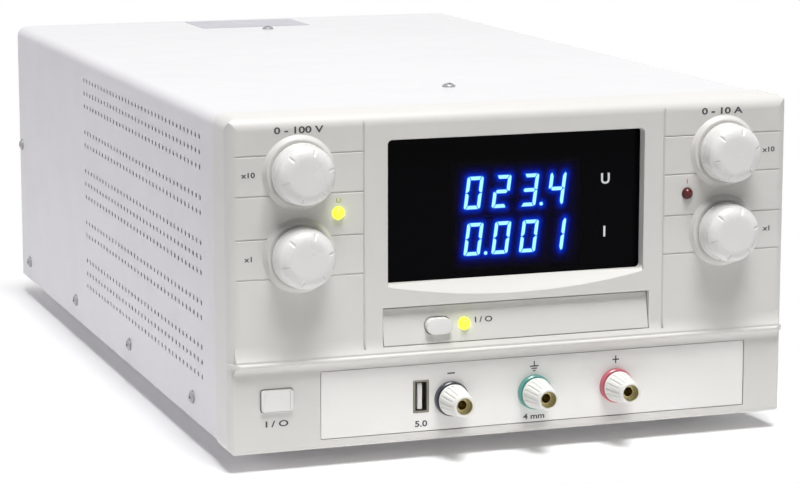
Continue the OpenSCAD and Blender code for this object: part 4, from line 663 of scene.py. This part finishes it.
# signs above the posts, drawn as strokes: width, height and height above the sign's middle
signLook = {
    "y": 1.3, "z": 28.6,
    "signs": [
        ("minusSign", "negative", [(3.4, 0.6, 0)]),
        ("plusSign", "positive", [(3.1, 0.55, 0.5), (0.55, 3.4, 0.5)]),
        ("earthSign", "ground", [(4.0, 0.5, 0.3), (2.6, 0.5, -0.7), (1.2, 0.5, -1.7), (0.5, 2.2, 1.4)]),
    ],
}


def makeSign(name, post, strokes):
    bm = bmesh.new()
    for width, tall, up in strokes:
        made = bmesh.ops.create_grid(bm, x_segments=1, y_segments=1, size=0.5 * mm)["verts"]
        bmesh.ops.scale(bm, vec=(width, tall, 1), verts=made)
        bmesh.ops.translate(bm, vec=(0, up * mm, 0), verts=made)
    bmesh.ops.solidify(bm, geom=bm.faces[:], thickness=inkLook["thick"] * mm)
    bmesh.ops.recalc_face_normals(bm, faces=bm.faces)
    spot = upright(postX[post], signLook["y"] - inkLook["lift"] - inkLook["thick"], signLook["z"])
    bmesh.ops.transform(bm, verts=bm.verts, matrix=spot)
    finishPiece(name, meshFrom(bm, name), finishes["printInk"], "case")


for sign in signLook["signs"]:
    makeSign(*sign)

# blank foil on the cover, near its back edge
foilLook = {"x": (-33.0, 28.5), "y": (384.0, 424.0), "thick": 0.12, "corner": 1.5, "steps": 4}


def makeFoil(look):
    (left, right), (near, far) = look["x"], look["y"]
    bm = bmesh.new()
    bmesh.ops.create_grid(bm, x_segments=1, y_segments=1, size=0.5 * mm)
    bmesh.ops.scale(bm, vec=(right - left, far - near, 1), verts=bm.verts)
    bmesh.ops.bevel(bm, geom=bm.verts[:], offset=look["corner"] * mm, segments=look["steps"], profile=0.5,
                    affect="VERTICES", material=-1)
    made = bmesh.ops.extrude_face_region(bm, geom=bm.faces[:])["geom"]
    raised = [item for item in made if isinstance(item, bmesh.types.BMVert)]
    bmesh.ops.translate(bm, vec=(0, 0, look["thick"] * mm), verts=raised)
    bmesh.ops.recalc_face_normals(bm, faces=bm.faces)
    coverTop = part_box("top_cover")[1].z
    spot = Vector(((left + right) / 2 * mm, faceY + (near + far) / 2 * mm, coverTop))
    bmesh.ops.translate(bm, vec=spot, verts=bm.verts)
    finishPiece("blankFoil", meshFrom(bm, "blankFoil"), finishes["foilGrey"], "case")


makeFoil(foilLook)
print("signs and foil placed")


def seenDirectly(tree):                           # 1 for what is looked at, also in a mirror or through glass
    path = tree.nodes.new("ShaderNodeLightPath")
    seen = mathNode(tree, "MAXIMUM", path.outputs["Is Camera Ray"], path.outputs["Is Glossy Ray"])
    return mathNode(tree, "MAXIMUM", seen, path.outputs["Is Transmission Ray"])


# floor: white away from the case, with the shadow kept near it; distances in metres from the footprint
floorLook = {
    "half": 8.0, "cells": 8, "footprint": (0.126, 0.2, 0.0), "clear": (0.005, 0.065), "fall": (0.08, 0.32),
    "colour": (0.92, 0.92, 0.925), "mottle": 0.995, "far": (0.35, 0.35, 0.355), "grain": 400.0,
    "rough": 0.55, "lift": 0.09, "liftColour": (1.0, 0.98, 1.0),
}


def makeFloor(look):
    bm = bmesh.new()
    bmesh.ops.create_grid(bm, x_segments=look["cells"], y_segments=look["cells"], size=look["half"])
    floor = addObject("paleFloor", meshFrom(bm, "paleFloor"))
    material, tree, shader, point = startMaterial("paleFloor")
    grain = useGroup(tree, grainGroup, Point=point, Grain_Scale=look["grain"])
    mottled = tuple(part * look["mottle"] for part in look["colour"])
    near = colourMix(tree, grain.outputs["Drift"], look["colour"], mottled)
    shader.inputs["Roughness"].default_value = look["rough"]
    shader.inputs["Emission Color"].default_value = (*look["liftColour"], 1)
    shader.inputs["Emission Strength"].default_value = look["lift"]
    away = point
    for operation, other in (("MULTIPLY", (1, 1, 0)), ("ABSOLUTE", None), ("SUBTRACT", look["footprint"]),
                             ("MAXIMUM", (0, 0, 0)), ("LENGTH", None)):
        away = vectorNode(tree, operation, away, other)
    clear = rangeNode(tree, away, *look["clear"], 0, 1, True)
    # only the floor round the case throws light back at it
    seen = seenDirectly(tree)
    dull = mathNode(tree, "SUBTRACT", rangeNode(tree, away, *look["fall"], 0, 1, True), seen, True)
    tree.links.new(colourMix(tree, dull, near, look["far"]), shader.inputs["Base Color"])
    white = tree.nodes.new("ShaderNodeEmission")
    mix = tree.nodes.new("ShaderNodeMixShader")
    tree.links.new(mathNode(tree, "MULTIPLY", clear, seen), mix.inputs[0])
    tree.links.new(shader.outputs[0], mix.inputs[1])
    tree.links.new(white.outputs[0], mix.inputs[2])
    tree.links.new(mix.outputs[0], findNode(material, "OUTPUT_MATERIAL").inputs["Surface"])
    floor.data.materials.append(material)


# room: a faint even light, and white wherever it is looked at
roomLook = {"light": 0.07, "seen": 1.0}


def makeRoom(look):
    world = bpy.data.worlds.new("paleStudio")
    bpy.context.scene.world = world
    world.use_nodes = True
    tree = world.node_tree
    tree.nodes.clear()
    mix = tree.nodes.new("ShaderNodeMixShader")
    tree.links.new(seenDirectly(tree), mix.inputs[0])
    for socket, strength in ((mix.inputs[1], look["light"]), (mix.inputs[2], look["seen"])):
        white = tree.nodes.new("ShaderNodeBackground")
        white.inputs["Color"].default_value = (1, 1, 1, 1)
        white.inputs["Strength"].default_value = strength
        tree.links.new(white.outputs[0], socket)
    output = tree.nodes.new("ShaderNodeOutputWorld")
    tree.links.new(mix.outputs[0], output.inputs["Surface"])


studioLamps = [
    # name, place, aim, width and depth in metres, watts, colour, seen in gloss
    ("overheadSoft", (0.0, -1.05, 3.0), (0, -0.1, 0.1), 1.3, 1.6, 133.0, (1.0, 1.0, 1.0), True),
    ("frontSoft", (1.1, -1.7, 0.35), (0, -0.1, 0.05), 1.2, 0.6, 0.3, (1.0, 0.985, 0.955), True),
    ("leftSoft", (-1.9, 0.7, 0.6), (0, 0.1, 0.05), 1.6, 1.0, 11.8, (0.94, 0.895, 1.0), False),
]


def makeLamp(name, spot, aim, width, depth, watts, colour, mirrored):
    light = bpy.data.lights.new(name, "AREA")
    light.shape = "RECTANGLE"
    light.size = width
    light.size_y = depth
    light.energy = watts
    light.color = colour
    lamp = addObject(name, light)
    lamp.location = spot
    lamp.visible_glossy = mirrored
    lamp.rotation_euler = (Vector(aim) - Vector(spot)).to_track_quat("-Z", "Y").to_euler()


# camera: place as on the front, angles in degrees, lens and film in millimetres, nearest view in metres
cameraLook = {"at": (-425.92, -1070.48, 285.59), "yaw": -19.23, "pitch": 9.94, "lens": 123.48, "film": 36.0,
              "nearest": 0.05}


def makeCamera(look):
    lens = bpy.data.cameras.new("studioCamera")
    lens.lens = look["lens"]
    lens.sensor_width = look["film"]
    lens.sensor_fit = "HORIZONTAL"
    lens.clip_start = look["nearest"]
    camera = addObject("studioCamera", lens)
    camera.location = place(*look["at"])
    camera.rotation_euler = (math.radians(90 - look["pitch"]), 0, math.radians(look["yaw"]))
    bpy.context.scene.camera = camera


makeFloor(floorLook)
makeRoom(roomLook)
for row in studioLamps:
    makeLamp(*row)
makeCamera(cameraLook)
bpy.context.scene.view_settings.view_transform = "Standard"
print("floor, light and camera set")
